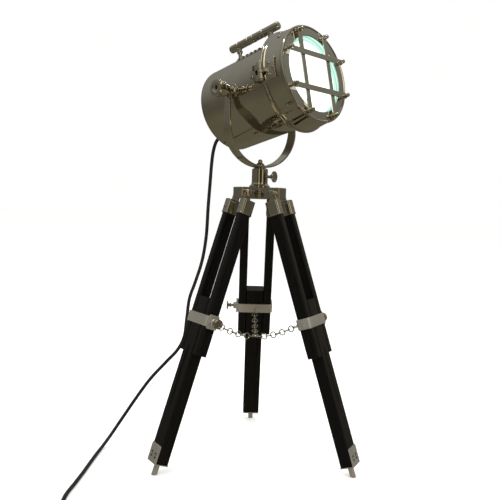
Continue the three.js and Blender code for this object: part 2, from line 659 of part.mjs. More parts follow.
function addHead(group) {
  place(group, "drum_shell", drumShell(), nickel);
  place(group, "rear_cover", rearCover(), nickel);
  place(group, "cable_gland", cableGland(), satinNickel);
  place(group, "reflector", reflector(), mirror);
  place(group, "lamp_holder", lampHolder(), ceramic);
  place(group, "bulb", bulb(), glass);
  for (const [hand, side] of [["left", 1], ["right", -1]]) {
    place(group, `trunnion_${hand}`, trunnion(side), nickel);
    place(group, `tilt_knob_${hand}`, tiltKnob(side), nickel);
  }
  place(group, "handle_bar", handleBar(), nickel);
  place(group, "handle_post_front", handlePost().translate(POST_SPACING / 2, 0, 0), nickel);
  place(group, "handle_post_rear", handlePost().translate(-POST_SPACING / 2, 0, 0), nickel);
}

// ---------- door: bezel, lens and grille ----------

function bezel() {
  const wall = 2;
  const lip = BEZEL_FRONT - 2.4;
  const shell = turned("x", [
    [BEZEL_RADIUS - wall - 1, BEZEL_BACK], [BEZEL_RADIUS, BEZEL_BACK],
    [BEZEL_RADIUS, BEZEL_BACK + 3], [BEZEL_RADIUS - 1, BEZEL_BACK + 5],
    [BEZEL_NOSE_RADIUS + 1.6, BEZEL_FRONT - 4],
    ...arc(BEZEL_NOSE_RADIUS - 1.6, BEZEL_FRONT - 3.4, 3, 0, 80, 3),
    [LENS_OPENING + 1, BEZEL_FRONT - 0.3], [LENS_OPENING, BEZEL_FRONT - 1],
    [LENS_OPENING, lip], [84, lip], [84, LENS_BACK - 3], [90, LENS_BACK - 3],
    [BEZEL_RADIUS - wall - 3, BEZEL_BACK + 6], [BEZEL_RADIUS - wall - 1, BEZEL_BACK],
  ], ROUND_SIDES);
  return shell;
}

function lens() {
  const r = 83.5;
  const back = LENS_BACK - 2;
  return turned("x", [
    [0, back + 2], [r, back], [r, back + 5.4], [LENS_OPENING - 2, back + 6.4],
    [40, back + 8], [0, back + 8.6],
  ], 36);
}

function grille() {
  const upright = BEZEL_FRONT + BAR_STAND_OFF;
  const level = upright + BAR_THICK - 0.1;
  const end = BAR_REACH + 5.5;
  const half = BAR_WIDE / 2;
  const pieces = [];
  for (const side of [-1, 1]) {
    const y = side * UPRIGHT_OFFSET;
    const z = side * LEVEL_OFFSET;
    pieces.push(block(upright, upright + BAR_THICK, y - half, y + half, -end, end));
    pieces.push(block(level, level + BAR_THICK, -end, end, z - half, z + half));
    for (const far of [-BAR_REACH, BAR_REACH]) {
      pieces.push(post(upright + BAR_THICK, y, far));
      pieces.push(post(level + BAR_THICK, far, z));
    }
  }
  return join(...pieces);
}

// A post from the bezel's face through a bar's end, with a ball nut over it.
function post(barFront, y, z) {
  const foot = BEZEL_FRONT - 0.1 + GAP;
  return turned("x", [
    [0, foot], [3.6, foot], [3.6, barFront + 1],
    ...arc(0, barFront + 4.6, 4.4, -30, 90, 3),
  ], 8).translate(0, y, z);
}

function addDoor(group) {
  place(group, "front_bezel", bezel(), nickel);
  place(group, "lens", lens(), glass);
  place(group, "guard_grille", grille(), nickel);
}

// ---------- latch, opposite the hinge ----------

function addLatch(head) {
  const turn = -HINGE_ANGLE * DEG;
  const pivotX = 65;
  const pivotY = DRUM_RADIUS + 9;
  const across = (low, high, radius) => rod("z", low, high, radius).translate(pivotX, pivotY, 0);
  const foot = block(52, 76, 78, DRUM_RADIUS + 3, -12, 12);
  const base = cut(foot, rod("x", -120, 120, DRUM_RADIUS + GAP, ROUND_SIDES));
  const ears = [[-9, -6], [6, 9]].map(([low, high]) =>
    join(block(60, 70, DRUM_RADIUS + 2, pivotY, low, high), across(low, high, 5)));
  const bracket = cut(join(base, ...ears), across(-12, 12, 2.4));
  place(head, "latch_bracket", bracket.rotateX(turn), satinNickel);
  const over = BEZEL_RADIUS + 3.4; // underside of the lever's bar, clear of the bezel
  const half = 4.5;
  const lever = join(
    across(-5.4, 5.4, 4.6), across(-10.5, 10.5, 2),
    block(65, 71, DRUM_RADIUS + 6, over + 3, -half, half),
    block(68, 112, over, over + 3, -half, half),
    block(109.5, 112, over - 2.6, over + 1, -half, half),
    block(112, 124, over + 1, over + 3, -7, 7));
  place(head, "latch_lever", lever.rotateX(turn), satinNickel);
}

// ---------- cord ----------

function addCord(group) {
  const headFrame = new THREE.Matrix4().makeTranslation(0, 0, TILT_HEIGHT);
  headFrame.multiply(new THREE.Matrix4().makeRotationZ(PAN * DEG));
  headFrame.multiply(new THREE.Matrix4().makeRotationY(-TILT * DEG));
  const out = COVER_BACK - GAP - 8 - GAP;
  const start = [0, 10, 20].map((back) =>
    new THREE.Vector3(out - back, 0, -GLAND_DROP).applyMatrix4(headFrame));
  const route = CORD_ROUTE.map(([x, y, z]) => new THREE.Vector3(x, y, z));
  const curve = new THREE.CatmullRomCurve3([...start, ...route], false, "centripetal");
  place(group, "mains_cord", clean(tubeAlong(curve, CORD_RADIUS, 8, 66)), rubber);
  const [x, y] = COIL_CENTRE;
  const low = 0.1;
  const inner = COIL_RADIUS - COIL_TURNS_WIDE / 2;
  const outer = COIL_RADIUS + COIL_TURNS_WIDE / 2;
  const coil = turned("z", [
    [inner + 1, low], [outer - 1, low], [outer, low + 1], [outer, low + COIL_TALL],
    [inner, low + COIL_TALL], [inner, low + 1], [inner + 1, low],
  ], 24);
  place(group, "cord_coil", coil.translate(x, y, 0), rubber);
  const body = join(
    block(-14, 14, -13, 13, 0.1, 13),
    block(12, 24, -6, 6, 3, 10),
    rod("x", -32, -12, 2.4, 12).translate(0, -9.5, 6.5),
    rod("x", -32, -12, 2.4, 12).translate(0, 9.5, 6.5));
  place(group, "mains_plug", body.translate(x + PLUG_FROM_COIL[0], y + PLUG_FROM_COIL[1], 0), rubber);
}

// ---------- assembly ----------

function buildLamp() {
  const lamp = new THREE.Group();
  addStand(lamp);
  for (const [name, azimuth] of Object.entries(LEG_AZIMUTHS)) addLeg(lamp, name, azimuth);
  addChain(lamp);
  const panned = new THREE.Group();
  panned.rotation.z = PAN * DEG;
  addYoke(panned);
  const head = new THREE.Group();
  head.position.z = TILT_HEIGHT;
  head.rotation.y = -TILT * DEG;
  addHead(head);
  addDoor(head);
  addHinge(head);
  addLatch(head);
  panned.add(head);
  lamp.add(panned);
  return lamp;
}

// The origin sits under the middle of the lamp's box, so the whole lamp is shifted onto it.
const lamp = buildLamp();
lamp.updateMatrixWorld(true);
const middle = new THREE.Box3().setFromObject(lamp, true).getCenter(new THREE.Vector3());
addCord(lamp);
lamp.position.set(-middle.x, -middle.y, 0);

export default lamp;
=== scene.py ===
import json
import math
import random

import bmesh
import bpy
from mathutils import Matrix, Vector


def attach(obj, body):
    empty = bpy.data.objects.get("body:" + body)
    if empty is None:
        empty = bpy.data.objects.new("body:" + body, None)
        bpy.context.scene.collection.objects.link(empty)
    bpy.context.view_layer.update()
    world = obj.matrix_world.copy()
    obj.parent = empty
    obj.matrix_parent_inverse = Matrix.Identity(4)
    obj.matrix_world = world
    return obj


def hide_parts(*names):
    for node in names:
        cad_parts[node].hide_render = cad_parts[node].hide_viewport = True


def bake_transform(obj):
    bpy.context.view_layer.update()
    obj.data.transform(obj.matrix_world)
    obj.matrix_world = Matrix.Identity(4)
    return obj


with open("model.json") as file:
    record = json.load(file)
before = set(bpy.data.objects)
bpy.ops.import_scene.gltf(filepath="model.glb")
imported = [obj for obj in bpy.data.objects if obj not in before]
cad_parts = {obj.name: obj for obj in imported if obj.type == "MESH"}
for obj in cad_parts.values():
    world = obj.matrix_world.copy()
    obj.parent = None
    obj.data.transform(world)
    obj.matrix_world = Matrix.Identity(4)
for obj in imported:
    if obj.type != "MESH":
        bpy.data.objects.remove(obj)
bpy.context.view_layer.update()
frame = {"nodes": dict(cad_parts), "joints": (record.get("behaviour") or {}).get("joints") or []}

MM = 0.001
UP = Vector((0, 0, 1))
joints = {joint["name"]: joint for joint in frame["joints"]}
LEGS = ("rear", "left", "right")
HEAD_RISE = math.radians(12.3)
HINGE_ANGLE = math.radians(1)


# ---------- frames, from millimetres in a part's own axes to metres in the row's ----------

def basis(origin, x, y, z):
    turn = Matrix((x, y, z)).transposed().to_4x4()
    return Matrix.Translation(origin) @ turn @ Matrix.Scale(MM, 4)


def joint_at(name):
    return Vector(joints[name]["pos_m"])


def joint_axis(name):
    return Vector(joints[name]["axis"]).normalized()


LEFT = -joint_axis("tilt")
AHEAD = LEFT.cross(UP)
BEAM = AHEAD * math.cos(HEAD_RISE) + UP * math.sin(HEAD_RISE)
AXIS = Vector((joint_at("pan").x, joint_at("pan").y, 0))
STAND = basis(AXIS, Vector((1, 0, 0)), Vector((0, 1, 0)), UP)
PANNED = basis(AXIS, AHEAD, LEFT, UP)
HEAD = basis(joint_at("tilt"), BEAM, LEFT, BEAM.cross(LEFT))
HINGED = HEAD @ Matrix.Rotation(-HINGE_ANGLE, 4, "X")


def leg_frame(name):
    across = joint_axis("fold_" + name)
    along = joint_axis("slide_" + name)
    return basis(joint_at("fold_" + name), across.cross(along), across, along)


LEG = {name: leg_frame(name) for name in LEGS}


def span(node, local):
    """Lowest and highest corner of a CAD node in a local frame, in millimetres."""
    back = local.inverted()
    points = [back @ vertex.co for vertex in frame["nodes"][node].data.vertices]
    low = Vector([min(p[i] for p in points) for i in range(3)])
    high = Vector([max(p[i] for p in points) for i in range(3)])
    return low, high


# ---------- solids: (points, faces) in millimetres ----------

def set_on(axis, along, u, v):
    return {"x": (along, u, v), "y": (v, along, u), "z": (u, v, along)}[axis]


def filleted(outline, radius, closed=False, steps=4):
    """The outline with each of its corners rounded."""
    made = []
    count = len(outline)
    for i, here in enumerate(outline):
        if not closed and i in (0, count - 1):
            made.append(here)
            continue
        here = Vector(here)
        before = Vector(outline[i - 1]) - here
        after = Vector(outline[(i + 1) % count]) - here
        turn = math.pi - before.angle(after)
        if turn < math.radians(12):
            made.append(tuple(here))
            continue
        reach = min(radius * math.tan(turn / 2), 0.45 * before.length, 0.45 * after.length)
        start = here + before.normalized() * reach
        end = here + after.normalized() * reach
        for k in range(steps + 1):
            t = k / steps
            made.append(tuple(start * (1 - t) ** 2 + here * 2 * t * (1 - t) + end * t * t))
    return made


def around(count):
    """Angles of a full turn, evenly apart."""
    return [2 * math.pi * k / count for k in range(count)]


def circle(radius, sides):
    return [(radius * math.cos(a), radius * math.sin(a)) for a in around(sides)]


def raised(base, profile):
    """A profile whose second numbers count from base."""
    return [(across, base + along) for across, along in profile]


def arc(cx, cy, radius, start, end, steps):
    """Points of an arc, angles in degrees."""
    angles = [math.radians(start + (end - start) * k / steps) for k in range(steps + 1)]
    return [(cx + radius * math.cos(a), cy + radius * math.sin(a)) for a in angles]


def bridged(rings, closed=False):
    """Faces between rings of point numbers, each to the next, and the last to the first if closed."""
    made = []
    for a, b in zip(rings, rings[1:] + rings[:1] if closed else rings[1:]):
        for k in range(len(a)):
            n = (k + 1) % len(a)
            made.append(list(dict.fromkeys((a[k], a[n], b[n], b[k]))))
    return made


def skin(rings, closed=False):
    """Points and faces through rings of equally many points."""
    size = len(rings[0])
    numbers = [range(r * size, (r + 1) * size) for r in range(len(rings))]
    return [p for ring in rings for p in ring], bridged(numbers, closed)


def lathe(axis, profile, sides=96, centre=(0, 0, 0), fillet=0.5):
    """A solid of revolution from (radius, along) pairs: from axis to axis, or closed on itself."""
    on_axis = profile[0][0] < 1e-6
    profile = filleted(profile, fillet, closed=not on_axis)
    points, rings = [], []
    for radius, along in profile:
        if radius < 1e-6:
            rings.append([len(points)] * sides)
            points.append(set_on(axis, along, 0, 0))
            continue
        rings.append(list(range(len(points), len(points) + sides)))
        points += [set_on(axis, along, u, v) for u, v in circle(radius, sides)]
    return moved((points, bridged(rings, closed=not on_axis)), centre)


def moved(solid, offset):
    points, faces = solid
    return [tuple(p[i] + offset[i] for i in range(3)) for p in points], faces


def turned(solid, matrix):
    points, faces = solid
    return [tuple(matrix @ Vector(p)) for p in points], faces


def loft(rings):
    """A closed solid through rings of equally many points, capped at both ends."""
    points, sides = skin(rings)
    size = len(rings[0])
    return points, [list(range(size))[::-1], list(range(len(points) - size, len(points))), *sides]


def prism(axis, outline, low, high):
    return loft([[set_on(axis, along, u, v) for u, v in outline] for along in (low, high)])


def pipe(axis, outer, inner, low, high):
    """A prism with a hole: outer and inner outlines of equally many points."""
    loops = [(outer, low), (outer, high), (inner, high), (inner, low)]
    return skin([[set_on(axis, along, u, v) for u, v in outline] for outline, along in loops], closed=True)


def block(x0, x1, y0, y1, z0, z1):
    return prism("z", [(x0, y0), (x1, y0), (x1, y1), (x0, y1)], z0, z1)


def rod(axis, low, high, radius, sides=32, centre=(0, 0, 0)):
    return lathe(axis, [(0, low), (radius, low), (radius, high), (0, high)], sides, centre, 0.3)


def rounded_rectangle(x0, x1, y0, y1, radius, steps=6):
    centres = [(x1 - radius, y1 - radius), (x0 + radius, y1 - radius),
               (x0 + radius, y0 + radius), (x1 - radius, y0 + radius)]
    return [point for i, (x, y) in enumerate(centres)
            for point in arc(x, y, radius, 90 * i, 90 * i + 90, steps)]


def box_outline(half_x, half_y, radius, steps):
    return rounded_rectangle(-half_x, half_x, -half_y, half_y, radius, steps)


def tube(points, radius, sides=14, closed=False):
    """A round tube along points."""
    line = [Vector(p) for p in points]
    count = len(line)
    side = None
    rings = []
    for i, here in enumerate(line):
        ahead = line[(i + 1) % count] if closed or i < count - 1 else here
        behind = line[i - 1] if closed or i > 0 else here
        way = (ahead - behind).normalized()
        if side is None:
            side = way.orthogonal().normalized()
        side = (side - way * side.dot(way)).normalized()
        other = way.cross(side)
        rings.append([tuple(here + (side * math.cos(a) + other * math.sin(a)) * radius)
                      for a in around(sides)])
    return skin(rings, closed=True) if closed else loft(rings)


def slotted_head(axis, base, radius, tall, turn=0.0, centre=(0, 0, 0)):
    """A screw's domed head with a slot, standing along the axis from base."""
    sign = 1 if tall > 0 else -1
    half_slot = 0.16 * radius
    edge = math.asin(half_slot / radius)
    narrow = 0.62  # of the dome's top against its foot
    solids = [lathe(axis, raised(base, [(0, 0), (radius, 0), (radius, 0.5 * tall), (0, 0.5 * tall)]),
                    24, fillet=0.2)]
    for flip, hand in ((0, 1), (math.pi, -1)):
        angles = [edge + (math.pi - 2 * edge) * k / 10 for k in range(11)]
        outline = [(radius * math.cos(a + flip), radius * math.sin(a + flip)) for a in angles]
        top = [(narrow * u, narrow * v + (1 - narrow) * half_slot * hand) for u, v in outline]
        levels = [(outline, base + 0.49 * tall), (outline, base + 0.62 * tall), (top, base + tall)]
        solids.append(loft([[set_on(axis, at, u, v) for u, v in ring] for ring, at in levels]))
    spin = Matrix.Rotation(turn * sign, 4, axis.upper())
    return [moved(turned(solid, spin), centre) for solid in solids]


def shell_patch(x0, x1, inner, outer, middle, half, steps=14):
    """A curved plate about the x axis, between two radii, middle and half its arc in degrees."""
    outline = arc(0, 0, outer, middle - half, middle + half, steps)
    outline += arc(0, 0, inner, middle + half, middle - half, steps)
    return prism("x", outline, x0, x1)


# ---------- pieces ----------

SHARP_ANGLE = 38  # degrees, past which an edge is bevelled


def mesh_of(name, local, solids):
    points, faces = [], []
    for solid_points, solid_faces in solids:
        base = len(points)
        points += solid_points
        faces += [[base + index for index in face] for face in solid_faces]
    mesh = bpy.data.meshes.new(name)
    mesh.from_pydata([local @ Vector(p) for p in points], [], faces)
    place = mesh.attributes.new("place", "FLOAT_VECTOR", "POINT")
    place.data.foreach_set("vector", [c * MM for p in points for c in p])
    shape = bmesh.new()
    shape.from_mesh(mesh)
    bmesh.ops.recalc_face_normals(shape, faces=shape.faces)
    shape.to_mesh(mesh)
    shape.free()
    return mesh


def smooth(data, material, sharp):
    """Smooth shading up to a sharp angle, in degrees, and the one material."""
    data.shade_smooth()
    data.set_sharp_from_angle(angle=math.radians(sharp))
    data.materials.clear()
    data.materials.append(material)


def bevel_edges(shown, width, segments):
    edge = shown.modifiers.new("edges", "BEVEL")
    edge.width = width * MM
    edge.segments = segments
    edge.limit_method = "ANGLE"
    edge.angle_limit = math.radians(SHARP_ANGLE)


def piece(name, body, finish, local, solids, *replaces, bevel=0.0, sharp=40):
    """One visible piece, made of closed solids, that rides on a body; finish is slot and material."""
    slot, material = finish
    mesh = mesh_of(name, local, solids)
    smooth(mesh, material, sharp)
    made = bpy.data.objects.new(name, mesh)
    bpy.context.scene.collection.objects.link(made)
    if bevel:
        bevel_edges(made, bevel, 3)
    evened = made.modifiers.new("normals", "WEIGHTED_NORMAL")
    evened.keep_sharp = True
    if body:
        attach(made, body)
    if replaces:
        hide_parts(*replaces)
    return made


def finish_node(node, finish, bevel):
    """A CAD node that is shown as it is, with smooth sides, small bevels and a better material."""
    shown = frame["nodes"][node]
    smooth(shown.data, finish[1], SHARP_ANGLE)
    bevel_edges(shown, bevel, 2)


# ---------- materials ----------

def add_node(tree, kind, inputs=(), **settings):
    """A shader node with its settings and inputs; an input is linked where its value is a socket."""
    made = tree.nodes.new("ShaderNode" + kind)
    for name, value in settings.items():
        setattr(made, name, value)
    for name, value in dict(inputs).items():
        if isinstance(value, bpy.types.NodeSocket):
            tree.links.new(value, made.inputs[name])
        else:
            made.inputs[name].default_value = value
    return made


def add_math(tree, operation, *values):
    return add_node(tree, "Math", enumerate(values), operation=operation).outputs["Value"]


def add_ramp(tree, factor, stops):
    """A colour ramp through stops of place and colour, where a single number is a grey."""
    made = add_node(tree, "ValToRGB", {"Fac": factor})
    elements = made.color_ramp.elements
    while len(elements) < len(stops):
        elements.new(0.5)
    for element, (at, colour) in zip(elements, stops):
        element.position = at
        element.color = (*colour, 1) if isinstance(colour, tuple) else (colour, colour, colour, 1)
    return made.outputs["Color"]


class Surface:
    """A principled material whose colour, roughness and relief come from procedural nodes."""

    def __init__(self, name, **values):
        self.material = bpy.data.materials.new(name)
        self.material.use_nodes = True
        self.tree = self.material.node_tree
        self.shader = self.tree.nodes["Principled BSDF"]
        self.object = add_node(self.tree, "TexCoord").outputs["Object"]
        for socket, value in values.items():
            self.shader.inputs[socket.replace("_", " ")].default_value = value

    def place(self):
        """The point in the piece's own frame, in metres."""
        return add_node(self.tree, "Attribute", attribute_name="place").outputs["Vector"]

    def noise(self, source, scale, detail, roughness=0.55):
        inputs = {"Vector": source, "Scale": scale, "Detail": detail, "Roughness": roughness}
        return add_node(self.tree, "TexNoise", inputs).outputs["Fac"]

    def ramp(self, socket, factor, *stops):
        self.tree.links.new(add_ramp(self.tree, factor, stops), self.shader.inputs[socket])

    def bump(self, height, strength, distance):
        made = add_node(self.tree, "Bump", {"Height": height, "Strength": strength, "Distance": distance})
        self.tree.links.new(made.outputs["Normal"], self.shader.inputs["Normal"])


def grained(name, scale, detail, looks, relief=None, **values):
    """A material with one fine grain, along which each socket in looks goes between two values."""
    surface = Surface(name, **values)
    grain = surface.noise(surface.object, scale, detail)
    for socket, (low, high) in looks.items():
        surface.ramp(socket, grain, (0.3, low), (0.8, high))
    if relief:
        surface.bump(grain, *relief)
    return surface.material


def nickel(name, light, dark, smoothest, roughest, wave, metallic=1.0):
    """Nickel plate with a slight warm cloudiness and polishing waves."""
    surface = Surface(name, Metallic=metallic)
    cloud = surface.noise(surface.object, 14.0, 5.0)
    surface.ramp("Base Color", cloud, (0.32, dark), (0.68, light))
    wear = surface.noise(surface.object, 55.0, 6.0, 0.65)
    surface.ramp("Roughness", wear, (0.35, smoothest), (0.75, roughest))
    surface.bump(surface.noise(surface.object, 22.0, 2.0), wave, 0.002)
    return surface.material


def lacquered_wood():
    """Black lacquer over a faint grain that runs along the leg."""
    surface = Surface("black_lacquer_wood", Coat_Weight=0.1, Coat_Roughness=0.14, Specular_IOR_Level=0.22)
    along_leg = add_node(surface.tree, "Mapping", {"Vector": surface.place(), "Scale": (90.0, 90.0, 5.0)})
    grain = surface.noise(along_leg.outputs["Vector"], 4.0, 8.0, 0.62)
    surface.ramp("Base Color", grain, (0.3, (0.0007, 0.0007, 0.0008)), (0.75, (0.0028, 0.0027, 0.0027)))
    surface.ramp("Roughness", grain, (0.3, 0.24), (0.8, 0.42))
    surface.bump(grain, 0.12, 0.0006)
    return surface.material


LENS_RADIUS = span("lens", HEAD)[1].y
GLOW_SHIFT = (4.5, 5.0)  # the lit middle seen through the glass, off the lens's own middle
GLOW = [  # from the glass's middle to its edge, with the green of thick glass near its rim, plus painted glow and a painted bright ring there, where the lit bezel wall shows through
    (0.0, (1.0, 1.0, 0.98)), (0.79, (0.98, 1.0, 0.985)), (0.82, (0.6, 0.82, 0.74)),
    (0.85, (0.26, 0.47, 0.38)), (0.89, (0.2, 0.39, 0.31)), (0.905, (0.55, 0.78, 0.7)),
    (0.925, (0.24, 0.44, 0.36)), (0.97, (0.18, 0.36, 0.29)), (1.0, (0.4, 0.64, 0.55)),
]


def lit_glass():
    """Frosted lamp glass, lit from behind."""
    surface = Surface("lamp_glass_lit", Coat_Weight=0.4, Coat_Roughness=0.04, Roughness=0.2,
                      Emission_Strength=1.7, Base_Color=(0.1, 0.17, 0.14, 1.0))
    tree = surface.tree
    parts = add_node(tree, "SeparateXYZ", {"Vector": surface.place()}).outputs
    flat = add_node(tree, "CombineXYZ", {"Y": parts["Y"], "Z": parts["Z"]}).outputs["Vector"]
    shift = (0, GLOW_SHIFT[0] * MM, GLOW_SHIFT[1] * MM)
    shifted = add_node(tree, "VectorMath", {0: flat, 1: shift}, operation="ADD").outputs["Vector"]
    reach = add_node(tree, "VectorMath", {0: shifted}, operation="LENGTH").outputs["Value"]
    surface.ramp("Emission Color", add_math(tree, "MULTIPLY", reach, 1 / (LENS_RADIUS * MM)), *GLOW)
    surface.bump(surface.noise(surface.object, 260.0, 3.0), 0.05, 0.0003)
    return surface.material


DULL_PLATE = nickel("dull_nickel_plate", (0.58, 0.565, 0.52), (0.46, 0.44, 0.38), 0.3, 0.42, 0.05, 0.84)
# Near-black and matt: painted shade for the hollows, slots and louvre mouths of nickel parts, which lie in
# shadow.
SHADE_BLACK = grained("painted_shade_black", 300.0, 3.0, {"Base Color": (0.004, 0.012), "Roughness": (0.6, 0.8)})
# A finish is the record's slot and the material that shows it.
POLISHED = ("polished_nickel", nickel("polished_nickel_plate", (0.57, 0.555, 0.5), (0.5, 0.48, 0.42),
                                      0.045, 0.11, 0.06))
SATIN = ("satin_nickel", nickel("satin_nickel_plate", (0.72, 0.7, 0.64), (0.4, 0.375, 0.31), 0.14, 0.3, 0.1))
MIRROR = ("reflector_mirror", nickel("reflector_mirror_plate", (0.82, 0.82, 0.8), (0.76, 0.76, 0.74),
                                     0.03, 0.06, 0.02))
DULL = ("satin_nickel", DULL_PLATE)
PRESSED = ("polished_nickel", DULL_PLATE)
# Nickel slots whose hollows and slots are shown in painted shade rather than in the nickel itself.
HOLLOW_SHADE = ("polished_nickel", SHADE_BLACK)
SLOT_SHADE = ("satin_nickel", SHADE_BLACK)
LACQUER = ("black_lacquer", lacquered_wood())
LIT_GLASS = ("lamp_glass", lit_glass())
RUBBER = ("cord_rubber", grained("cord_black_plastic", 900.0, 3.0, {
    "Base Color": (0.006, 0.013), "Roughness": (0.36, 0.52)}, (0.15, 0.0003), IOR=1.46))
BULB = ("bulb_glass", grained("bulb_opal_glass", 40.0, 3.0, {
    "Base Color": ((0.9, 0.89, 0.86), (0.97, 0.96, 0.94)),
    "Emission Color": ((0.95, 0.97, 0.92), (1.0, 1.0, 0.97)),
    "Roughness": (0.12, 0.2)}, Coat_Weight=0.5, Emission_Strength=1.5))
CERAMIC = ("holder_white", grained("holder_glazed_ceramic", 120.0, 4.0, {
    "Base Color": ((0.7, 0.68, 0.62), (0.8, 0.78, 0.73)), "Roughness": (0.15, 0.28)}))


# ---------- camera and stage ----------

CAMERA_AT = Vector((-0.050, -1.303, 0.521))  # from the tripod's foot, on the floor
CAMERA_PITCH = math.radians(-3.91)
CAMERA_YAW = math.radians(1.49)
CAMERA_ROLL = math.radians(1.57)
CAMERA_LENS = 45.2


def add_camera():
    ahead = Vector((math.sin(CAMERA_YAW) * math.cos(CAMERA_PITCH),
                    math.cos(CAMERA_YAW) * math.cos(CAMERA_PITCH), math.sin(CAMERA_PITCH)))
    right = Vector((math.cos(CAMERA_YAW), -math.sin(CAMERA_YAW), 0))
    above = right.cross(ahead)
    rolled = right * math.cos(CAMERA_ROLL) + above * math.sin(CAMERA_ROLL)
    top = above * math.cos(CAMERA_ROLL) - right * math.sin(CAMERA_ROLL)
    camera = bpy.data.objects.new("camera", bpy.data.cameras.new("camera"))
    camera.data.lens = CAMERA_LENS
    camera.matrix_world = Matrix.Translation(AXIS + CAMERA_AT) @ Matrix(
        (rolled, top, -ahead)).transposed().to_4x4()
    bpy.context.scene.collection.objects.link(camera)
    bpy.context.scene.camera = camera


def add_floor():
    side, drop = 30.0, 0.0006
    mesh = bpy.data.meshes.new("floor")
    corners = [(x * side, y * side, -drop) for x, y in ((-1, -1), (1, -1), (1, 1), (-1, 1))]
    mesh.from_pydata(corners, [], [(0, 1, 2, 3)])
    floor = bpy.data.objects.new("floor", mesh)
    bpy.context.scene.collection.objects.link(floor)
    pale = {"Base Color": ((0.925, 0.925, 0.92), (0.945, 0.945, 0.94))}
    mesh.materials.append(grained("floor_pale", 30.0, 3.0, pale, Roughness=0.85,
                                  Emission_Color=(1.0, 1.0, 1.0, 1.0), Emission_Strength=0.12))
    floor.visible_glossy = False


MIRRORED_LIGHT = "ceiling_strip"  # the only one that shows in polished metal
LIGHTS = [  # name, place, height it points at, width and length, watts, colour
    ("key", (-1.3, -1.9, 2.3), 0.5, (1.6, 1.2), 34, (1.0, 0.98, 0.95)),
    ("fill", (1.9, -1.5, 1.3), 0.5, (1.4, 1.4), 15, (0.97, 0.98, 1.0)),
    ("top", (0.1, 0.4, 2.7), 0.5, (1.8, 1.8), 24, (1.0, 0.99, 0.97)),
    ("window", (-0.9, -2.6, 1.9), 0.7, (0.16, 0.8), 7, (1.0, 0.98, 0.93)),
    ("lamp_strip", (1.3, -1.9, 1.9), 0.6, (0.1, 0.6), 4, (1.0, 0.9, 0.72)),
    ("ceiling_strip", (-0.2, -0.5, 2.6), 0.7, (0.9, 0.14), 8, (1.0, 0.99, 0.96)),
]


def add_light(name, at, aim, size, power, color):
    data = bpy.data.lights.new(name, "AREA")
    data.shape = "RECTANGLE"
    data.size, data.size_y = size
    data.energy = power
    data.color = color
    light = bpy.data.objects.new(name, data)
    light.location = at
    light.rotation_mode = "QUATERNION"
    light.rotation_quaternion = (Vector((0, 0, aim)) - Vector(at)).to_track_quat("-Z", "Y")
    light.visible_glossy = name == MIRRORED_LIGHT
    light.visible_camera = False
    bpy.context.scene.collection.objects.link(light)


ROOM_BY_HEIGHT = [(0.0, (0.165, 0.146, 0.1)), (0.25, (0.17, 0.15, 0.1)), (0.42, (0.125, 0.112, 0.085)),
                  (0.55, (0.145, 0.134, 0.106)), (0.68, (0.24, 0.23, 0.2)), (0.84, (0.34, 0.335, 0.3)),
                  (1.0, (0.42, 0.415, 0.38))]
# Warm uprights of the room, by heading: 0 and 1 look along +Y, a half looks along -Y.
ROOM_BY_HEADING = [(0.0, 1.0), (0.38, 1.0), (0.42, (0.45, 0.4, 0.32)), (0.447, (0.5, 0.42, 0.3)),
                   (0.455, (5.4, 5.0, 4.1)), (0.475, (5.6, 5.1, 4.2)), (0.483, (0.4, 0.33, 0.24)),
                   (0.535, (0.32, 0.26, 0.18)), (0.585, (0.7, 0.55, 0.36)), (0.595, (5.6, 5.1, 4.2)),
                   (0.622, (5.4, 5.0, 4.1)), (0.632, (0.6, 0.5, 0.38)), (0.67, (0.85, 0.8, 0.7)),
                   (0.7, 1.0), (0.86, 1.0), (0.88, (2.4, 2.1, 1.6)), (0.9, 1.0),
                   (1.0, 1.0)]


def room_colour(tree):
    """The room that polished metal mirrors: lighter overhead, with warm uprights in front."""
    way = add_node(tree, "TexCoord").outputs["Generated"]
    parts = add_node(tree, "SeparateXYZ", {"Vector": way}).outputs
    height = add_math(tree, "MULTIPLY_ADD", parts["Z"], 0.5, 0.5)
    angle = add_math(tree, "ARCTAN2", parts["X"], add_math(tree, "MULTIPLY", parts["Y"], -1.0))
    around = add_math(tree, "MULTIPLY_ADD", angle, 0.5 / math.pi, 0.5)
    both = add_node(tree, "Mix", data_type="RGBA", blend_type="MULTIPLY", clamp_result=False)
    both.inputs["Factor"].default_value = 1.0
    colours = [socket for socket in both.inputs if socket.type == "RGBA"]
    tree.links.new(add_ramp(tree, height, ROOM_BY_HEIGHT), colours[0])
    tree.links.new(add_ramp(tree, around, ROOM_BY_HEADING), colours[1])
    return next(socket for socket in both.outputs if socket.type == "RGBA")


def add_world():
    """Pale light all round; what polished metal mirrors is a dim room instead."""
    world = bpy.data.worlds.new("studio")
    bpy.context.scene.world = world
    world.use_nodes = True
    tree = world.node_tree
    tree.nodes.clear()
    pale = add_node(tree, "Background", {"Color": (1.0, 1.0, 0.997, 1), "Strength": 1.0})
    room = add_node(tree, "Background", {"Color": room_colour(tree)})
    mirrored = add_node(tree, "LightPath").outputs["Is Glossy Ray"]
    mix = add_node(tree, "MixShader", {"Fac": mirrored, 1: pale.outputs["Background"],
                                       2: room.outputs["Background"]})
    add_node(tree, "OutputWorld", {"Surface": mix.outputs["Shader"]})


# ---------- cord ----------

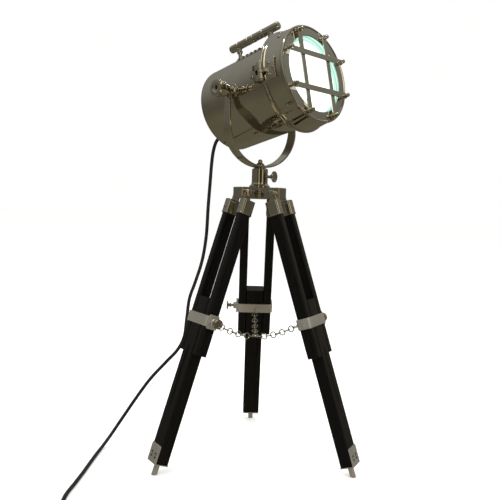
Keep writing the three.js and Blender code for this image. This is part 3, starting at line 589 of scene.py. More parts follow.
CORD_RADIUS = 3.7
GLAND_DROP = 45
CORD_START = [0, 10, 20]  # straight out of the gland
CORD_ROUTE = [
    (-93, 92.5, 665), (-100, 98, 645), (-103.5, 100, 618), (-106, 99, 575), (-109, 95, 520),
    (-112, 90, 450), (-120, 85, 397), (-133, 81, 353), (-145, 78, 316), (-150, 75, 272),
    (-155, 71, 230), (-168, 68, 203), (-192, 66, 176), (-226, 63, 138), (-256, 57, 96),
    (-283, 47, 55), (-305, 30, 22), (-317, 6, 7), (-322, -26, 4.2), (-325, -70, 4),
    (-328, -120, 4), (-332, -170, 4), (-336, -215, 4), (-333, -265, 4),
]
CORD_STEP = 4.0
CORD_SPLIT = 450  # height where the lead's upper part, which follows the head, ends
COIL_CENTRE = (-374, -316.5)
COIL_ROWS = [(44.0, 4.0), (36.4, 4.0), (36.4, 11.6), (44.0, 11.6)]  # radius and height of each turn
COIL_SHIFT_FROM = 0.75  # of each turn, where the lead moves over to the next row
COIL_LEAVE = [(-4, 11.6), (-26, 10.4), (-46, 8.0)]  # heading and height of points past the last turn
PLUG_ROUTE = [(-356, -368, 6.2), (-366, -383, 6.2), (-377, -390.5, 6.4)]
TURN_POINTS = 16


def catmull_rom(points, step):
    """A centripetal Catmull-Rom curve through the points, sampled about a step apart."""
    points = [Vector(p) for p in points]
    points = [points[0] * 2 - points[1], *points, points[-1] * 2 - points[-2]]
    made = []
    for a, b, c, d in zip(points, points[1:], points[2:], points[3:]):
        knots = [0.0]
        for p, q in ((a, b), (b, c), (c, d)):
            knots.append(knots[-1] + max((q - p).length, 1e-6) ** 0.5)
        count = max(2, math.ceil((c - b).length / step))
        for k in range(count):
            t = knots[1] + (knots[2] - knots[1]) * k / count
            lows = [p.lerp(q, (t - s) / (e - s)) for p, q, s, e in
                    ((a, b, knots[0], knots[1]), (b, c, knots[1], knots[2]), (c, d, knots[2], knots[3]))]
            mids = [p.lerp(q, (t - s) / (e - s)) for p, q, s, e in
                    ((lows[0], lows[1], knots[0], knots[2]), (lows[1], lows[2], knots[1], knots[3]))]
            made.append(mids[0].lerp(mids[1], (t - knots[1]) / (knots[2] - knots[1])))
    made.append(points[-2])
    return made


def coil_points():
    """The coil's turns, wound clockwise from its east side, row after row."""
    made = []
    for row, (radius, height) in enumerate(COIL_ROWS):
        to_radius, to_height = COIL_ROWS[min(row + 1, len(COIL_ROWS) - 1)]
        for k in range(TURN_POINTS):
            share = k / TURN_POINTS
            shift = max(0.0, (share - COIL_SHIFT_FROM) / (1 - COIL_SHIFT_FROM))
            angle = -2 * math.pi * share
            r = radius + (to_radius - radius) * shift
            made.append((COIL_CENTRE[0] + r * math.cos(angle), COIL_CENTRE[1] + r * math.sin(angle),
                         height + (to_height - height) * shift))
    return made


def lead_points():
    """The whole lead, from the gland to the plug, in millimetres about the tripod's foot."""
    gland_low, _ = span("cable_gland", HEAD)
    back = STAND.inverted() @ HEAD
    start = [back @ Vector((gland_low.x - 0.3 - out, 0, -GLAND_DROP)) for out in CORD_START]
    cx, cy = COIL_CENTRE
    last = COIL_ROWS[-1][0]
    leave = [(cx + last * math.cos(math.radians(a)), cy + last * math.sin(math.radians(a)), z)
             for a, z in COIL_LEAVE]
    return catmull_rom([*start, *CORD_ROUTE, *coil_points(), *leave, *PLUG_ROUTE], CORD_STEP)


def add_cord():
    line = lead_points()
    split = next(i for i, p in enumerate(line) if p.z < CORD_SPLIT)
    upper, lower = line[:split + 1], line[split:]
    lead = piece("mains_lead", None, RUBBER, STAND, [tube(lower, CORD_RADIUS, 14)],
                 "mains_cord", "cord_coil")
    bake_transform(lead)
    top = piece("mains_lead_upper", None, RUBBER, STAND, [tube(upper, CORD_RADIUS, 14)])
    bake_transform(top)
    relief = add_strain_relief()
    plug = add_plug()


def add_strain_relief():
    """A ribbed boot that tapers onto the lead behind the gland."""
    gland_low, _ = span("cable_gland", HEAD)
    start = gland_low.x + 3
    rib_pitch, rib_taper, groove = 4.6, 0.42, 0.9
    profile = [(0, 0), (6.4, 0), (6.4, -5)]
    for rib in range(5):
        wide = 6.0 - rib_taper * rib
        profile += raised(-6 - rib_pitch * rib, [
            (wide - groove, 0), (wide - groove, -1.2), (wide, -1.6), (wide, -4.2)])
    profile += [(4.1, -32), (0, -32)]
    solid = lathe("x", raised(start, profile), 32, (0, 0, -GLAND_DROP), 0.25)
    return piece("lead_strain_relief", "head", RUBBER, HEAD, [solid])


def add_plug():
    """A moulded plug with two round pins, lying beside the coil."""
    low, high = span("mains_plug", STAND)
    middle = (low + high) / 2
    body_height, pin_height, pin_apart = 6.6, 6.5, 9.5
    sections = []
    for x, half_wide, half_tall in ((low.x + 18, 12.4, 5.6), (low.x + 20, 12.9, 6.4), (low.x + 34, 12.6, 6.4),
                                    (low.x + 42, 9.0, 6.0), (high.x - 10, 6.2, 5.2), (high.x - 1, 4.6, 4.4)):
        outline = box_outline(half_wide, half_tall, half_tall * 0.7, 4)
        sections.append([(x, middle.y + u, body_height + v) for u, v in outline])
    pin = raised(low.x, [(0, 0), (1.6, 0.4), (2.4, 2), (2.4, 19), (0, 19)])
    pins = [lathe("x", pin, 20, (0, middle.y + side * pin_apart, pin_height), 0.3) for side in (-1, 1)]
    plug = piece("mains_plug_moulded", "stand", RUBBER, STAND, [loft(sections)], "mains_plug", bevel=0.3)
    metal = piece("mains_plug_pins", "stand", SATIN, STAND, pins)
    metal.parent = plug
    metal.matrix_parent_inverse = Matrix.Identity(4)
    metal.matrix_basis = Matrix.Identity(4)
    return plug


# ---------- lamp head ----------

drum_low, drum_high = span("drum_shell", HEAD)
bezel_low, bezel_high = span("front_bezel", HEAD)
cover_low, _ = span("rear_cover", HEAD)
handle_low, handle_high = span("handle_bar", HEAD)
DRUM_RADIUS = 86.0
DRUM_WALL = 1.6
BEAD_RADIUS = 3.0
DRUM_BACK = drum_low.x
FLANGE_RADIUS = drum_high.y - BEAD_RADIUS
BEAD_AT = drum_high.x - BEAD_RADIUS
BEZEL_RADIUS = bezel_high.y
BEZEL_BACK = bezel_low.x
BEZEL_FRONT = bezel_high.x
LENS_OPENING = 73.5
BEZEL_NOSE_RADIUS = 92.8
BEZEL_SCREWS_AT = 118.5
LOUVRE_TOP = 89.0  # above the drum's axis
LOUVRES_AT = [-34 + 11.5 * i for i in range(6)]
HANDLE_RADIUS = (handle_high.z - handle_low.z) / 2
HANDLE_AT = (handle_high.z + handle_low.z) / 2


def add_drum():
    inner = DRUM_RADIUS - DRUM_WALL
    bead = arc(FLANGE_RADIUS, BEAD_AT, BEAD_RADIUS, -110, 90, 14)
    profile = [(inner, DRUM_BACK), (DRUM_RADIUS, DRUM_BACK),
               *arc(DRUM_RADIUS + 7, BEAD_AT - 9, 7, 180, 90, 8), *bead,
               (FLANGE_RADIUS - 4, drum_high.x), (inner, drum_high.x - 1)]
    barrel = lathe("x", profile, 160, fillet=0.15)
    seam = shell_patch(DRUM_BACK + 1, BEAD_AT - 11, DRUM_RADIUS - 0.3, DRUM_RADIUS + 0.35, 240, 0.9, 3)
    piece("drum_barrel", "head", POLISHED, HEAD, [barrel], "drum_shell")
    piece("drum_seam_lap", "head", POLISHED, HEAD, [seam])
    hoods = [louvre(at) for at in LOUVRES_AT]
    # dark patches under the louvres' open fronts: painted shade in their mouths
    mouth_shades = [shell_patch(at + 2, at + 7.6, DRUM_RADIUS - 0.4, DRUM_RADIUS + 0.2, 90, 8, 10)
              for at in LOUVRES_AT]
    piece("drum_louvres", "head", PRESSED, HEAD, hoods, sharp=50)
    piece("drum_louvre_mouth_shade", "head", HOLLOW_SHADE, HEAD, mouth_shades)


def louvre(at):
    """A pressed hood across the drum's top, open towards the front."""
    half, long, thick, sunk, steps = 30.0, 8.2, 0.7, 0.3, 30
    slope = [(0.35, 0.55), (0.7, 0.9), (1, 1)]  # shares of the length and of the rise
    rings = []
    for k in range(steps + 1):
        y = -half + 2 * half * k / steps
        base = math.sqrt(DRUM_RADIUS ** 2 - y * y) - sunk
        rise = (LOUVRE_TOP - base) * (1 - abs(y / half) ** 9) ** 0.5
        over = [(at + share * long, y, base + up * rise) for share, up in slope]
        under = [(at + share * long, y, base + max(up * rise - thick, 0)) for share, up in reversed(slope)]
        rings.append([(at, y, base), *over, *under, (at + 0.3, y, base)])
    return loft(rings)


def add_cover():
    back = cover_low.x
    edge = DRUM_RADIUS
    outside = [(0, 3.2), (34, 3.2), (37, 0.4), (edge - 15, 0.4), *arc(edge - 8, 8.2, 8, -95, 0, 12)]
    inside = [(edge, -0.25), (edge - 3, -0.25), (edge - 3, 8), (0, 6)]
    profile = raised(back, outside) + raised(DRUM_BACK, inside)
    piece("rear_cap", "head", POLISHED, HEAD, [lathe("x", profile, 160, fillet=0.8)], "rear_cover")
    screws, screw_circle = [], 62
    for angle in (30, 150, 248, 292):
        way = math.radians(angle)
        centre = (0, screw_circle * math.cos(way), screw_circle * math.sin(way))
        screws += slotted_head("x", back + 0.6, 3.4, -1.8, angle, centre)
    piece("rear_cap_screws", "head", SATIN, HEAD, screws)
    low, _ = span("cable_gland", HEAD)
    hexagon = [(y, z - GLAND_DROP) for y, z in circle(10.2, 6)]
    nut = prism("x", hexagon, back - 4.2, back + 0.5)
    neck = lathe("x", [(0, low.x), (7.6, low.x), (8.2, low.x + 1), (8.2, back), (0, back)], 40,
                 (0, 0, -GLAND_DROP))
    piece("cable_gland_nut", "head", SATIN, HEAD, [nut, neck], "cable_gland", bevel=0.4)


def add_handle():
    half = (handle_high.x - handle_low.x) / 2
    r = HANDLE_RADIUS
    profile = [(0, -half), (r - 3.2, -half), (r - 0.6, -half + 2), (r, -half + 4)]
    for groove_at in (-44, -16, 0, 27):
        profile += raised(groove_at, [(r, -1.8), (r + 0.7, -1.1), (r - 0.8, -0.3), (r - 0.8, 0.3),
                                      (r + 0.7, 1.1), (r, 1.8)])
    profile += [(r, half - 4), (r - 0.6, half - 2), (r - 3.2, half), (0, half)]
    bar = lathe("x", profile, 64, (0, 0, HANDLE_AT), 0.5)
    piece("handle_grip", "head", POLISHED, HEAD, [bar], "handle_bar")
    for node in ("handle_post_front", "handle_post_rear"):
        low, high = span(node, HEAD)
        x = (low.x + high.x) / 2
        profile = [*raised(DRUM_RADIUS - 1.2, [(0, 0), (9, 0), (9, 3.4), (7, 4.2), (5.4, 7), (4.2, 11)]),
                   *raised(HANDLE_AT, [(4.0, -19), (5.0, -16.4), (6.3, -15), (6.3, -12.4), (5.0, -11),
                                       (5.6, -8), (5.6, -5), (0, -5)])]
        piece(node + "_turned", "head", POLISHED, HEAD, [lathe("z", profile, 48, (x, 0, 0), 0.8)], node)


def add_trunnions():
    foot, screw_circle, eighth_turn, r = DRUM_RADIUS - 1.6, 12.1, 0.785, 17.0
    for hand, side in (("left", 1), ("right", -1)):
        flip = Matrix.Rotation(0 if side > 0 else math.pi, 4, "Z")
        start, end = sorted(abs(corner.y) for corner in span("tilt_knob_" + hand, HEAD))
        flange = raised(foot, [(0, 0), (15.5, 0), (15.5, 2.4), (13.5, 3.2), (9.5, 3.6), (8.2, 4.6)])
        stud = lathe("y", [*flange, (8.2, start - 5), (3.5, start - 4.6), (3.5, end - 8), (0, end - 8)], 64,
                     fillet=0.6)
        screws = []
        for k, a in enumerate(around(4)):
            way = a + eighth_turn
            place = (screw_circle * math.cos(way), 0, screw_circle * math.sin(way))
            screws += slotted_head("y", foot + 2.2, 2.1, 1.5, k, place)
        piece("trunnion_stud_" + hand, "head", POLISHED, HEAD,
              [turned(s, flip) for s in [stud, *screws]], "trunnion_" + hand)
        knob = raised(start, [
            (4.0, 0), (10, 0), (10, 3), (r - 4.4, 3.6), (r - 4.4, 8.4), (r - 1.8, 10), (r - 1.8, 14.6),
            (r - 3.0, 15.4), (r - 3.0, 17.2), (r - 0.8, 18), (r, 19.4)])
        knob += raised(end, [(r, -2.2), (r - 1.8, -0.4), (9.5, 0), (7.4, -1.2), (4.0, -1.6)])
        piece("tilt_knob_turned_" + hand, "tilt_knob_" + hand, POLISHED, HEAD,
              [turned(lathe("y", knob, 80, fillet=0.6), flip)], "tilt_knob_" + hand)
        # a dark plug in the knob's middle hole: painted shade
        hole_shade = lathe("y", raised(end, [(0, -9), (3.9, -9), (3.9, -4), (0, -4)]), 32)
        piece("tilt_knob_hole_shade_" + hand, "tilt_knob_" + hand, HOLLOW_SHADE, HEAD, [turned(hole_shade, flip)])


def add_optics():
    neck, mouth, dish_back, curve, steps = 22, 80, -50, 0.0195, 14
    radii = [neck + (mouth - neck) * k / steps for k in range(steps + 1)]
    dish = [(r, dish_back + curve * r * r) for r in radii]
    back = [(r + 0.4, x - 1.4) for r, x in reversed(dish)]
    piece("reflector_dish", "head", MIRROR, HEAD, [lathe("x", dish + back, 96, fillet=0.2)], "reflector")
    low, high = span("lamp_holder", HEAD)
    holder = [*raised(low.x, [(0, 0), (24, 0), (24, 3), (17, 6)]),
              *raised(high.x, [(17, 0), (14.2, 0), (14.2, -18), (0, -18)])]
    piece("lamp_holder_glazed", "head", CERAMIC, HEAD, [lathe("x", holder, 64, fillet=0.8)], "lamp_holder")
    low, high = span("bulb", HEAD)
    cap = raised(low.x, [(0, 0), (12, 0.5), (13.2, 3), (13.2, 24), (16, 34)])
    globe = arc(0, low.x + 66, 29, -48, 90, 24)
    piece("bulb_globe", "head", BULB, HEAD,
          [lathe("x", [*cap, *globe[:-1], (0, high.x)], 64, fillet=0.4)], "bulb")


# ---------- door ----------

def add_bezel():
    nose = BEZEL_NOSE_RADIUS
    profile = [*raised(BEZEL_BACK, [(BEZEL_RADIUS - 3, 0), (BEZEL_RADIUS, 0), (BEZEL_RADIUS, 3.2),
                                    (BEZEL_RADIUS - 1.2, 4.6)]),
               *raised(BEZEL_FRONT, [
                   (nose + 0.9, -7), (nose + 1.9, -5.4), *arc(nose - 0.7, -2.6, 2.6, -10, 110, 10),
                   (nose - 3.4, -1.2), (LENS_OPENING + 1.6, -0.5), (LENS_OPENING, -1.2),
                   (LENS_OPENING, -2.6), (84, -2.6), (84, -13), (90, -13)]),
               (BEZEL_RADIUS - 5, BEZEL_BACK + 6)]
    piece("bezel_ring", "door", POLISHED, HEAD, [lathe("x", profile, 160, fillet=0.4)], "front_bezel")
    screws = []
    for angle in (44.6, -42.3, 135.4, 222.3):
        turn = Matrix.Rotation(math.radians(90 - angle), 4, "X")
        head = slotted_head("z", BEZEL_RADIUS - 3.2, 3.0, 2.2, angle, (BEZEL_SCREWS_AT, 0, 0))
        screws += [turned(s, turn) for s in head]
    piece("bezel_screws", "door", SATIN, HEAD, screws)


def add_lens():
    back = span("lens", HEAD)[0].x
    profile = raised(back, [(0, 0.6), (LENS_RADIUS, 0), (LENS_RADIUS, 2.6), (73, 3.4), (60, 5.0), (40, 6.4),
                            (20, 7.2), (0, 7.5)])
    piece("lens_glass", "door", LIT_GLASS, HEAD, [lathe("x", profile, 120, fillet=1.2)], "lens")


def add_grille():
    upright, level, reach, wide, thick = 37.5, 34.0, 77.0, 11.0, 3.0
    rear = BEZEL_FRONT + 3.0
    front = rear + thick - 0.1
    stadium = arc(reach, 0, wide / 2, -90, 90, 10) + arc(-reach, 0, wide / 2, 90, 270, 10)
    bars, studs = [], []
    for side in (-1, 1):
        y, z = side * upright, side * level
        bars.append(prism("x", [(y + v, u) for u, v in stadium], rear, rear + thick))
        bars.append(prism("x", [(u, z + v) for u, v in stadium], front, front + thick))
        for far in (-reach, reach):
            studs += [bar_stud(rear + thick, y, far), bar_stud(front + thick, far, z)]
    piece("guard_bars", "door", POLISHED, HEAD, bars, "guard_grille", bevel=0.6)
    piece("guard_studs", "door", SATIN, HEAD, studs)


def bar_stud(bar_front, y, z):
    """A post from the bezel's face through a bar's end, with a ball nut over the bar."""
    ball = arc(0, 4.9, 4.1, -48, 90, 10)
    nut = [(2.9, 0), (4.2, 0.1), (4.2, 1.4), (2.6, 1.8), *ball[:-1], (0, ball[-1][1])]
    post = raised(BEZEL_FRONT - 1.6, [(0, 0), (4.2, 0), (4.2, 2.6), (2.9, 3.2)])
    return lathe("x", post + raised(bar_front, nut), 28, (0, y, z), 0.25)


# ---------- hinge and latch ----------

def add_hinge():
    low, high = span("hinge_pin", HINGED)
    x, y = (low.x + high.x) / 2, (low.y + high.y) / 2
    half, end, gap, barrel = high.z, 15.7, 4.3, 5.0
    leaf_back, riser_back, leaf_front = 54, 78, 84  # along the beam, from the tilt axis
    drum_leaf = shell_patch(leaf_back, leaf_front, DRUM_RADIUS + 0.2, DRUM_RADIUS + 3.2, 180, 12.6)
    riser = block(riser_back, leaf_front, y - 1, -DRUM_RADIUS - 1, -end, end)
    webs = [block(riser_back, x, y - 1, y + 4, *z) for z in ((-end, -gap), (gap, end))]
    knuckles = [rod("z", *z, barrel, 40, (x, y, 0)) for z in ((-end, -gap), (gap, end))]
    screws = leaf_screws((59.5, 72.5), DRUM_RADIUS + 3.0, (-12, -4, 4, 12))
    piece("hinge_plate_drum", "head", SATIN, HINGED,
          [drum_leaf, riser, *webs, *knuckles], "hinge_leaf_drum", bevel=0.5)
    piece("hinge_screws_drum", "head", SATIN, HINGED, screws)
    pin_end = [(0, 0), (2.4, 0), (4.3, -1.4), (4.3, -2.8), (2.5, -2.8)]
    profile = [(r, -half - z) for r, z in pin_end] + raised(half, reversed(pin_end))
    pin = lathe("z", profile, 32, (x, y, 0), 0.5)
    piece("hinge_pin_turned", "head", SATIN, HINGED, [pin], "hinge_pin")
    leaf_back, arm_front, leaf_front = 103, 108, 126
    bezel_leaf = shell_patch(leaf_back, leaf_front, BEZEL_RADIUS - 4, BEZEL_RADIUS + 2.6, 180, 10.9)
    half_arm = gap - 0.4
    arm = block(x, arm_front, y - 1, y + 4, -half_arm, half_arm)
    root = block(arm_front - 4, arm_front, y + 3, -BEZEL_RADIUS - 1, -half_arm, half_arm)
    knuckle = rod("z", -half_arm, half_arm, barrel, 40, (x, y, 0))
    piece("hinge_plate_bezel", "door", SATIN, HINGED,
          [bezel_leaf, arm, root, knuckle], "hinge_leaf_bezel", bevel=0.5)
    screws = leaf_screws((112.5, 121), BEZEL_RADIUS + 2.4, (-11, 0, 11))
    piece("hinge_screws_bezel", "door", SATIN, HINGED, screws)


def leaf_screws(across, radius, heights):
    """Screws on a leaf curved about the x axis, in turn at each of the two places across it."""
    made = []
    for i, z in enumerate(heights):
        turn = Matrix.Rotation(-math.asin(z / radius), 4, "X")
        head = slotted_head("y", -radius, 3.3, -2.4, 0.6 + i, (across[i % 2], 0, 0))
        made += [turned(s, turn) for s in head]
    return made


# ---------- yoke ----------

YOKE_THICK = 4.0
YOKE_FOOT, YOKE_NECK, YOKE_EYE = 10.5, 6.5, 8.5  # half the bar's width below, above and at the tilt axis
YOKE_ARM = 62  # from the tilt axis down to where the bar starts to bend
YOKE_BOW = 80.0  # from there down to the bar's lowest middle
YOKE_WIDENS, YOKE_WIDENING = 17, 55  # how far below the tilt axis it starts to widen, and over what length
YOKE_ROUND_END = math.sqrt(YOKE_EYE ** 2 - YOKE_NECK ** 2)
yoke_low, yoke_high = span("yoke", PANNED)
YOKE_HALF = (yoke_high.y - yoke_low.y) / 2 - YOKE_THICK / 2
TILT_HEIGHT = yoke_high.z - YOKE_EYE
YOKE_BOTTOM = TILT_HEIGHT - YOKE_ARM - YOKE_BOW


def yoke_half_width(z):
    """Round at the eye, narrow below it, and wider again down the arm."""
    below = TILT_HEIGHT - z
    if below < YOKE_ROUND_END:
        return max(math.sqrt(max(YOKE_EYE ** 2 - below ** 2, 0)), 0.6)
    share = max(0.0, min(1.0, (below - YOKE_WIDENS) / YOKE_WIDENING))
    return YOKE_NECK + (YOKE_FOOT - YOKE_NECK) * share


def yoke_path():
    """The bar's middle line, across and up, from one eye's top round to the other's."""
    arm = [(YOKE_HALF, TILT_HEIGHT + YOKE_EYE * math.cos(math.pi / 2 * k / 8)) for k in range(8)]
    arm += [(YOKE_HALF, TILT_HEIGHT - down) for down in (0, 2, 4, YOKE_ROUND_END, 10, 17, 28, 40, 51)]
    bow = [(YOKE_HALF * y, YOKE_BOTTOM + YOKE_BOW * (1 - z)) for y, z in arc(0, 0, 1, 0, 180, 60)]
    return arm + bow + [(-y, z) for y, z in reversed(arm)]


def add_yoke():
    path = yoke_path()
    rings = []
    for i, (y, z) in enumerate(path):
        w = yoke_half_width(z)
        before, after = path[max(i - 1, 0)], path[min(i + 1, len(path) - 1)]
        way = Vector((after[0] - before[0], after[1] - before[1])).normalized()
        outline = box_outline(w, YOKE_THICK / 2, min(1.1, w * 0.8), 4)
        rings.append([(u, y - way.y * v, z + way.x * v) for u, v in outline])
    piece("yoke_bar", "yoke", POLISHED, PANNED, [loft(rings)], "yoke")
    low, high = span("yoke_spigot", PANNED)
    under, over = YOKE_BOTTOM - YOKE_THICK / 2 - 0.2, YOKE_BOTTOM + YOKE_THICK / 2 + 0.1
    washer = low.z + 32.3
    cap = raised(over, [(5, 0), (9.4, 0), (9.4, 2.4), (8.6, 3.2), (6.4, 5.4), (3.4, 6.6)])
    ball = arc(0, high.z - 4.9, 4.9, -42, 90, 12)[:-1]
    spigot = lathe("z", [(0, low.z), (7.5, low.z), (7.5, washer), (13, washer), (13, under), (5, under), *cap,
                         *ball, (0, high.z)], 56, fillet=0.4)
    piece("yoke_spigot_turned", "yoke", POLISHED, PANNED, [spigot], "yoke_spigot")


# ---------- tripod head ----------

def screw_profile(start, end, radius):
    """A thumbscrew: shaft, waisted neck and a thin round head with a dished middle."""
    neck = [(3, -10), (4.8, -9.4), (4.8, -8), (3.5, -6.4), (3.5, -5.2), (4.8, -3.4)]
    head = [(radius - 0.6, -3.2), (radius, -2.6), (radius, -0.8), (radius - 0.8, 0), (radius - 3.2, 0),
            (radius - 4.2, -0.7), (0, -0.7)]
    return [(0, start), (2.4, start), (3, start + 0.6), *raised(end, neck + head)]


def heading(way):
    """The direction of a horizontal offset, from 0 to a full turn."""
    return math.atan2(way.y, way.x) % (2 * math.pi)


def add_tripod_head():
    low, high = span("tripod_head_casting", STAND)
    half, long = 17.0, 55.0
    headings = sorted(heading(joint_at("fold_" + name) - AXIS) for name in LEGS)
    outline = []
    for before, a in zip([headings[-1] - 2 * math.pi, *headings], headings):
        ahead, across = Vector((math.cos(a), math.sin(a))), Vector((-math.sin(a), math.cos(a)))
        between = (before + a) / 2
        corner = half / math.sin((a - before) / 2)
        outline.append(Vector((math.cos(between), math.sin(between))) * corner)
        outline += [ahead * long - across * half, ahead * long + across * half]
    outline = filleted([tuple(p) for p in outline], 6.0, closed=True, steps=6)
    casting = prism("z", outline, low.z, high.z)
    piece("tripod_casting", "stand", POLISHED, STAND, [casting], "tripod_head_casting", bevel=1.3)
    low, high = span("head_socket", STAND)
    socket = [*raised(low.z, [(0, 0), (21.5, 0), (21.5, 3), (19.6, 4.2), (17.6, 6.4), (16.5, 9.5)]),
              *raised(high.z, [(16.5, -1.6), (15.2, 0), (9.2, 0), (7.9, -1.2), (7.9, -12), (0, -12)])]
    piece("socket_turned", "stand", POLISHED, STAND, [lathe("z", socket, 80, fillet=0.7)], "head_socket")
    way = joint_axis("socket_screw_turn")
    screw_frame = basis(joint_at("socket_screw_turn"), way, UP.cross(way), UP)
    low, high = span("socket_thumbscrew", screw_frame)
    profile = screw_profile(low.x, high.x, 11.5)
    piece("socket_screw_turned", "socket_screw", POLISHED, screw_frame,
          [lathe("x", profile, 56, fillet=0.3)], "socket_thumbscrew")


# ---------- legs ----------

BAND_AT = -268.0  # the clamp band's middle, along the leg from its fold pin


def add_leg(name):
    local = LEG[name]
    leg, lower, screw = "leg_" + name, "lower_" + name, "clamp_screw_" + name
    for hand, side in (("a", 1), ("b", -1)):
        node = f"upper_stick_{name}_{hand}"
        low, high = span(node, local)
        outline = rounded_rectangle(low.x, high.x, low.y, high.y, 4.2, 8)
        piece(node + "_turned", leg, LACQUER, local, [prism("z", outline, low.z, high.z)], node, bevel=1.2)
        add_ferrule(name, hand, side, local)
    low, high = span("pivot_bolt_" + name, local)
    ends = low.y + 1.4, high.y - 1.4
    bolt = lathe("y", [(0, ends[0]), (4, ends[0]), (4, ends[1]), (0, ends[1])], 40)
    heads = slotted_head("y", high.y - 3.4, 7.2, 3.4, 0.5) + slotted_head("y", low.y + 3.4, 7.2, -3.4, 0.9)
    piece("pivot_bolt_slotted_" + name, leg, SATIN, local, [bolt, *heads], "pivot_bolt_" + name)
    add_band(name, leg, local)
    low, high = span("clamp_thumbscrew_" + name, local)
    middle = (low + high) / 2
    profile = screw_profile(low.y, high.y, 9.5)
    piece("clamp_screw_turned_" + name, screw, SATIN, local,
          [lathe("y", profile, 48, (middle.x, 0, middle.z), 0.3)], "clamp_thumbscrew_" + name)
    add_lower_leg(name, lower, local)
    add_shoe(name, lower, local)


def add_ferrule(name, hand, side, local):
    """A sleeve over a stick's top, with a lip below and a lug round the fold pin."""
    node = f"ferrule_{name}_{hand}"
    low, high = span(node, local)
    sleeve_top, lug_radius, lug_thick, screw_at = -17.0, 7.5, 6, -34

    def grown(along, across, radius):
        return rounded_rectangle(low.x - along, high.x + along, low.y - across, high.y + across, radius, 8)

    sleeve = prism("z", grown(0, 0, 6.6), low.z, sleeve_top)
    lip = pipe("z", grown(0.5, 0.2, 6.8), grown(-1, -1, 5.8), low.z, low.z + 2.2)
    near = low.y if side > 0 else high.y
    lug_outline = arc(0, 0, lug_radius, 0, 180, 16) + [(-lug_radius, -20), (lug_radius, -20)]
    lug = prism("y", [(z, x) for x, z in lug_outline], *sorted((near, near + lug_thick * side)))
    piece(f"ferrule_sleeve_{name}_{hand}", "leg_" + name, POLISHED, local,
          [sleeve, lug, lip], node, bevel=1.0)
    screws = slotted_head("x", high.x - 0.3, 2.6, 1.4, side, (0, (low.y + high.y) / 2, screw_at))
    piece(f"ferrule_screw_{name}_{hand}", "leg_" + name, SATIN, local, screws)


def add_band(name, body, local):
    """A strap round the leg with the screw's plate and boss, the chain's eye and two rivets."""
    low, high = span("clamp_band_" + name, local)
    tall, wall = 21.0, 2.4
    half_x, half_y = high.x, -low.y
    strap = pipe("z", box_outline(half_x, half_y, 5.6, 8), box_outline(half_x - wall, half_y - wall, 3.4, 8),
                 BAND_AT - tall / 2, BAND_AT + tall / 2)
    plate = prism("y", [(BAND_AT + v, u) for u, v in box_outline(11, 14, 2.2, 5)], half_y - 0.8, half_y + 2.6)
    boss = lathe("y", raised(half_y, [(3.3, 0), (7.5, 0), (7.5, 7.6), (6.4, 9), (3.3, 9)]), 40,
                 (0, 0, BAND_AT), 0.4)
    eye = tube([(low.x + 1.2 + u, 0, BAND_AT + v) for u, v in circle(3.4, 20)], 1.1, 10, closed=True)
    piece("clamp_strap_" + name, body, DULL, local, [strap, plate, boss], "clamp_band_" + name, bevel=0.7)
    piece("clamp_eye_" + name, body, DULL, local, [eye])
    rivet = raised(-half_y, [(0, -0.9), (1.4, -0.8), (2.2, 0), (0, 0.3)])
    rivets = [lathe("y", rivet, 24, (0, 0, BAND_AT + z), 0.3) for z in (-4.5, 4.5)]
    piece("clamp_rivets_" + name, body, DULL, local, rivets)


def add_lower_leg(name, body, local):
    """A plain batten with a flute down its outer face that runs out at both ends."""
    low, high = span("lower_leg_" + name, local)
    flute_top, flute_end, flute_half, flute_deep, run_out, steps = -318.0, -455.0, 5.5, 2.6, 24, 6
    levels = {low.z, high.z}
    for k in range(steps + 1):
        levels |= {flute_end + run_out * k / steps, flute_top - run_out * k / steps}
    outline = rounded_rectangle(low.x, high.x, low.y - 0.4, high.y + 0.4, 1.6, 3)
    rings = []
    for z in sorted(levels):
        share = max(0.0, min(1.0, min(z - flute_end, flute_top - z) / run_out))
        half = max(flute_half * share ** 0.8, 0.05)
        deep = flute_deep * share ** 0.8
        flute = [(high.x, -half), (high.x - deep * 0.75, -half * 0.6), (high.x - deep, 0),
                 (high.x - deep * 0.75, half * 0.6), (high.x, half)]
        rings.append([(x, y, z) for x, y in flute + outline])
    piece("lower_leg_fluted_" + name, body, LACQUER, local, [loft(rings)],
          "lower_leg_" + name, bevel=0.5, sharp=30)


def add_shoe(name, body, local):
    """An angle plate under the leg, and a round tip cut level with the floor."""
    low, high = span("shoe_" + name, local)
    lean = math.acos(joint_axis("slide_" + name).z)
    floor = -joint_at("fold_" + name).z / MM
    plate_tall, tip_radius = 36, 5.5
    base = high.z - plate_tall
    half = -low.y
    face = filleted([(-half, base), (half, base), (half, high.z), (-half, high.z)], 2.4, closed=True)
    plate = prism("x", face, high.x - 2, high.x)
    foot = block(low.x, high.x - 0.2, -half, half, base, base + 2)
    rim = circle(tip_radius, 32)
    ends = [[(x, y, (floor - x * math.sin(lean)) / math.cos(lean)) for x, y in rim],
            [(x, y, base + 1) for x, y in rim]]
    collar = lathe("z", raised(base, [(0, -3.4), (7.4, -3.4), (7.4, 0.4), (0, 0.4)]), 40)
    piece("shoe_plate_" + name, body, DULL, local, [plate, foot, loft(ends), collar],
          "shoe_" + name, bevel=0.5)
    screws, slot_shades = [], []
    for side in (-1, 1):
        y, z = side * 7.8, base + 15.5
        oval = [(y + u, z + v) for u, v in arc(0, 2.2, 3.6, 0, 180, 10) + arc(0, -2.2, 3.6, 180, 360, 10)]
        # a dark oval round each screw: painted shade in the plate's slot
        slot_shades.append(prism("x", oval, high.x - 0.6, high.x + 0.12))
        screws += slotted_head("x", high.x - 0.2, 2.9, 1.2, 0.4 + side, (0, y, z))
    piece("shoe_slot_shade_" + name, body, SLOT_SHADE, local, slot_shades)
    piece("shoe_screws_" + name, body, DULL, local, screws)


# ---------- spreader chain ----------

LINK_RADIUS = 6.0
LINK_WIRE = 1.05
LINK_PITCH = 10.8
LINK_WOBBLE = 14  # degrees, how far a link may twist off its quarter turn
CHAIN_SAG = 1.6  # the power of the arm's rise


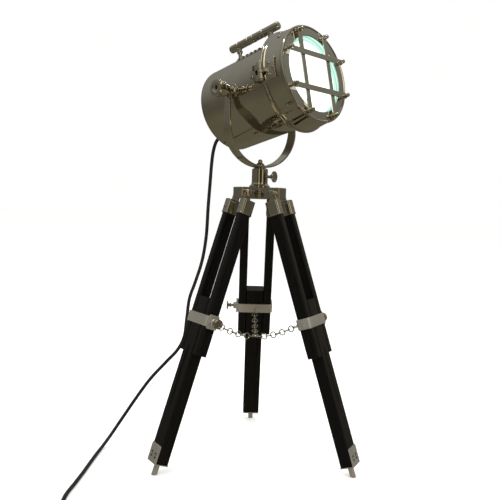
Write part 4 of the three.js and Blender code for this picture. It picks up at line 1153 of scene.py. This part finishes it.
def ring_link(middle, way, side, stretch):
    """A wire ring lying in the plane of way and side."""
    points = [middle + way * (stretch * u) + side * v for u, v in circle(LINK_RADIUS, 24)]
    return tube(points, LINK_WIRE, 10, closed=True)


def add_chain():
    low, high = span("chain_centre_ring", STAND)
    height, start = (low.z + high.z) / 2, 4.5
    ring = lathe("z", arc(6.0, height, 1.1, 0, 330, 11), 40, fillet=0.05)
    piece("chain_ring", "stand", SATIN, STAND, [ring], "chain_centre_ring")
    picks = random.Random(7)
    for name in LEGS:
        eye_low, _ = span("clamp_band_" + name, LEG[name])
        end = STAND.inverted() @ (LEG[name] @ Vector((eye_low.x - 1.5, 0, BAND_AT)))
        out = Vector((end.x, end.y, 0)).normalized()
        reach, rise = Vector((end.x, end.y)).length, end.z - height
        line = [out * (start + (reach - start) * t) + UP * (height + rise * t ** CHAIN_SAG)
                for t in [k / 60 for k in range(61)]]
        lengths = [0.0]
        for a, b in zip(line, line[1:]):
            lengths.append(lengths[-1] + (b - a).length)
        count = round(lengths[-1] / LINK_PITCH)
        pitch = lengths[-1] / count
        links = []
        for i in range(count):
            want = pitch * (i + 0.5)
            k = next(j for j, along in enumerate(lengths) if along >= want)
            middle = line[k - 1].lerp(line[k], (want - lengths[k - 1]) / (lengths[k] - lengths[k - 1]))
            way = (line[k] - line[k - 1]).normalized()
            level = way.cross(UP).normalized()
            upright = way.cross(level).normalized()
            turn = math.radians(90 * (i % 2) + picks.uniform(-LINK_WOBBLE, LINK_WOBBLE))
            side = level * math.cos(turn) + upright * math.sin(turn)
            links.append(ring_link(middle, way, side, 1.0 + 0.06 * picks.random()))
        chain = piece("chain_links_" + name, None, SATIN, STAND, links, "chain_arm_" + name)
        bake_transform(chain)


# ---------- the whole lamp ----------

bpy.context.scene.view_settings.view_transform = "Standard"
add_camera()
for add in (add_cord, add_drum, add_cover, add_handle, add_trunnions, add_optics, add_bezel, add_lens,
            add_grille, add_hinge):
    add()
for latch_node in ("latch_bracket", "latch_lever"):
    finish_node(latch_node, SATIN, 0.4)
add_yoke()
add_tripod_head()
for leg_name in LEGS:
    add_leg(leg_name)
add_chain()

add_floor()
for light_facts in LIGHTS:
    add_light(*light_facts)
add_world()
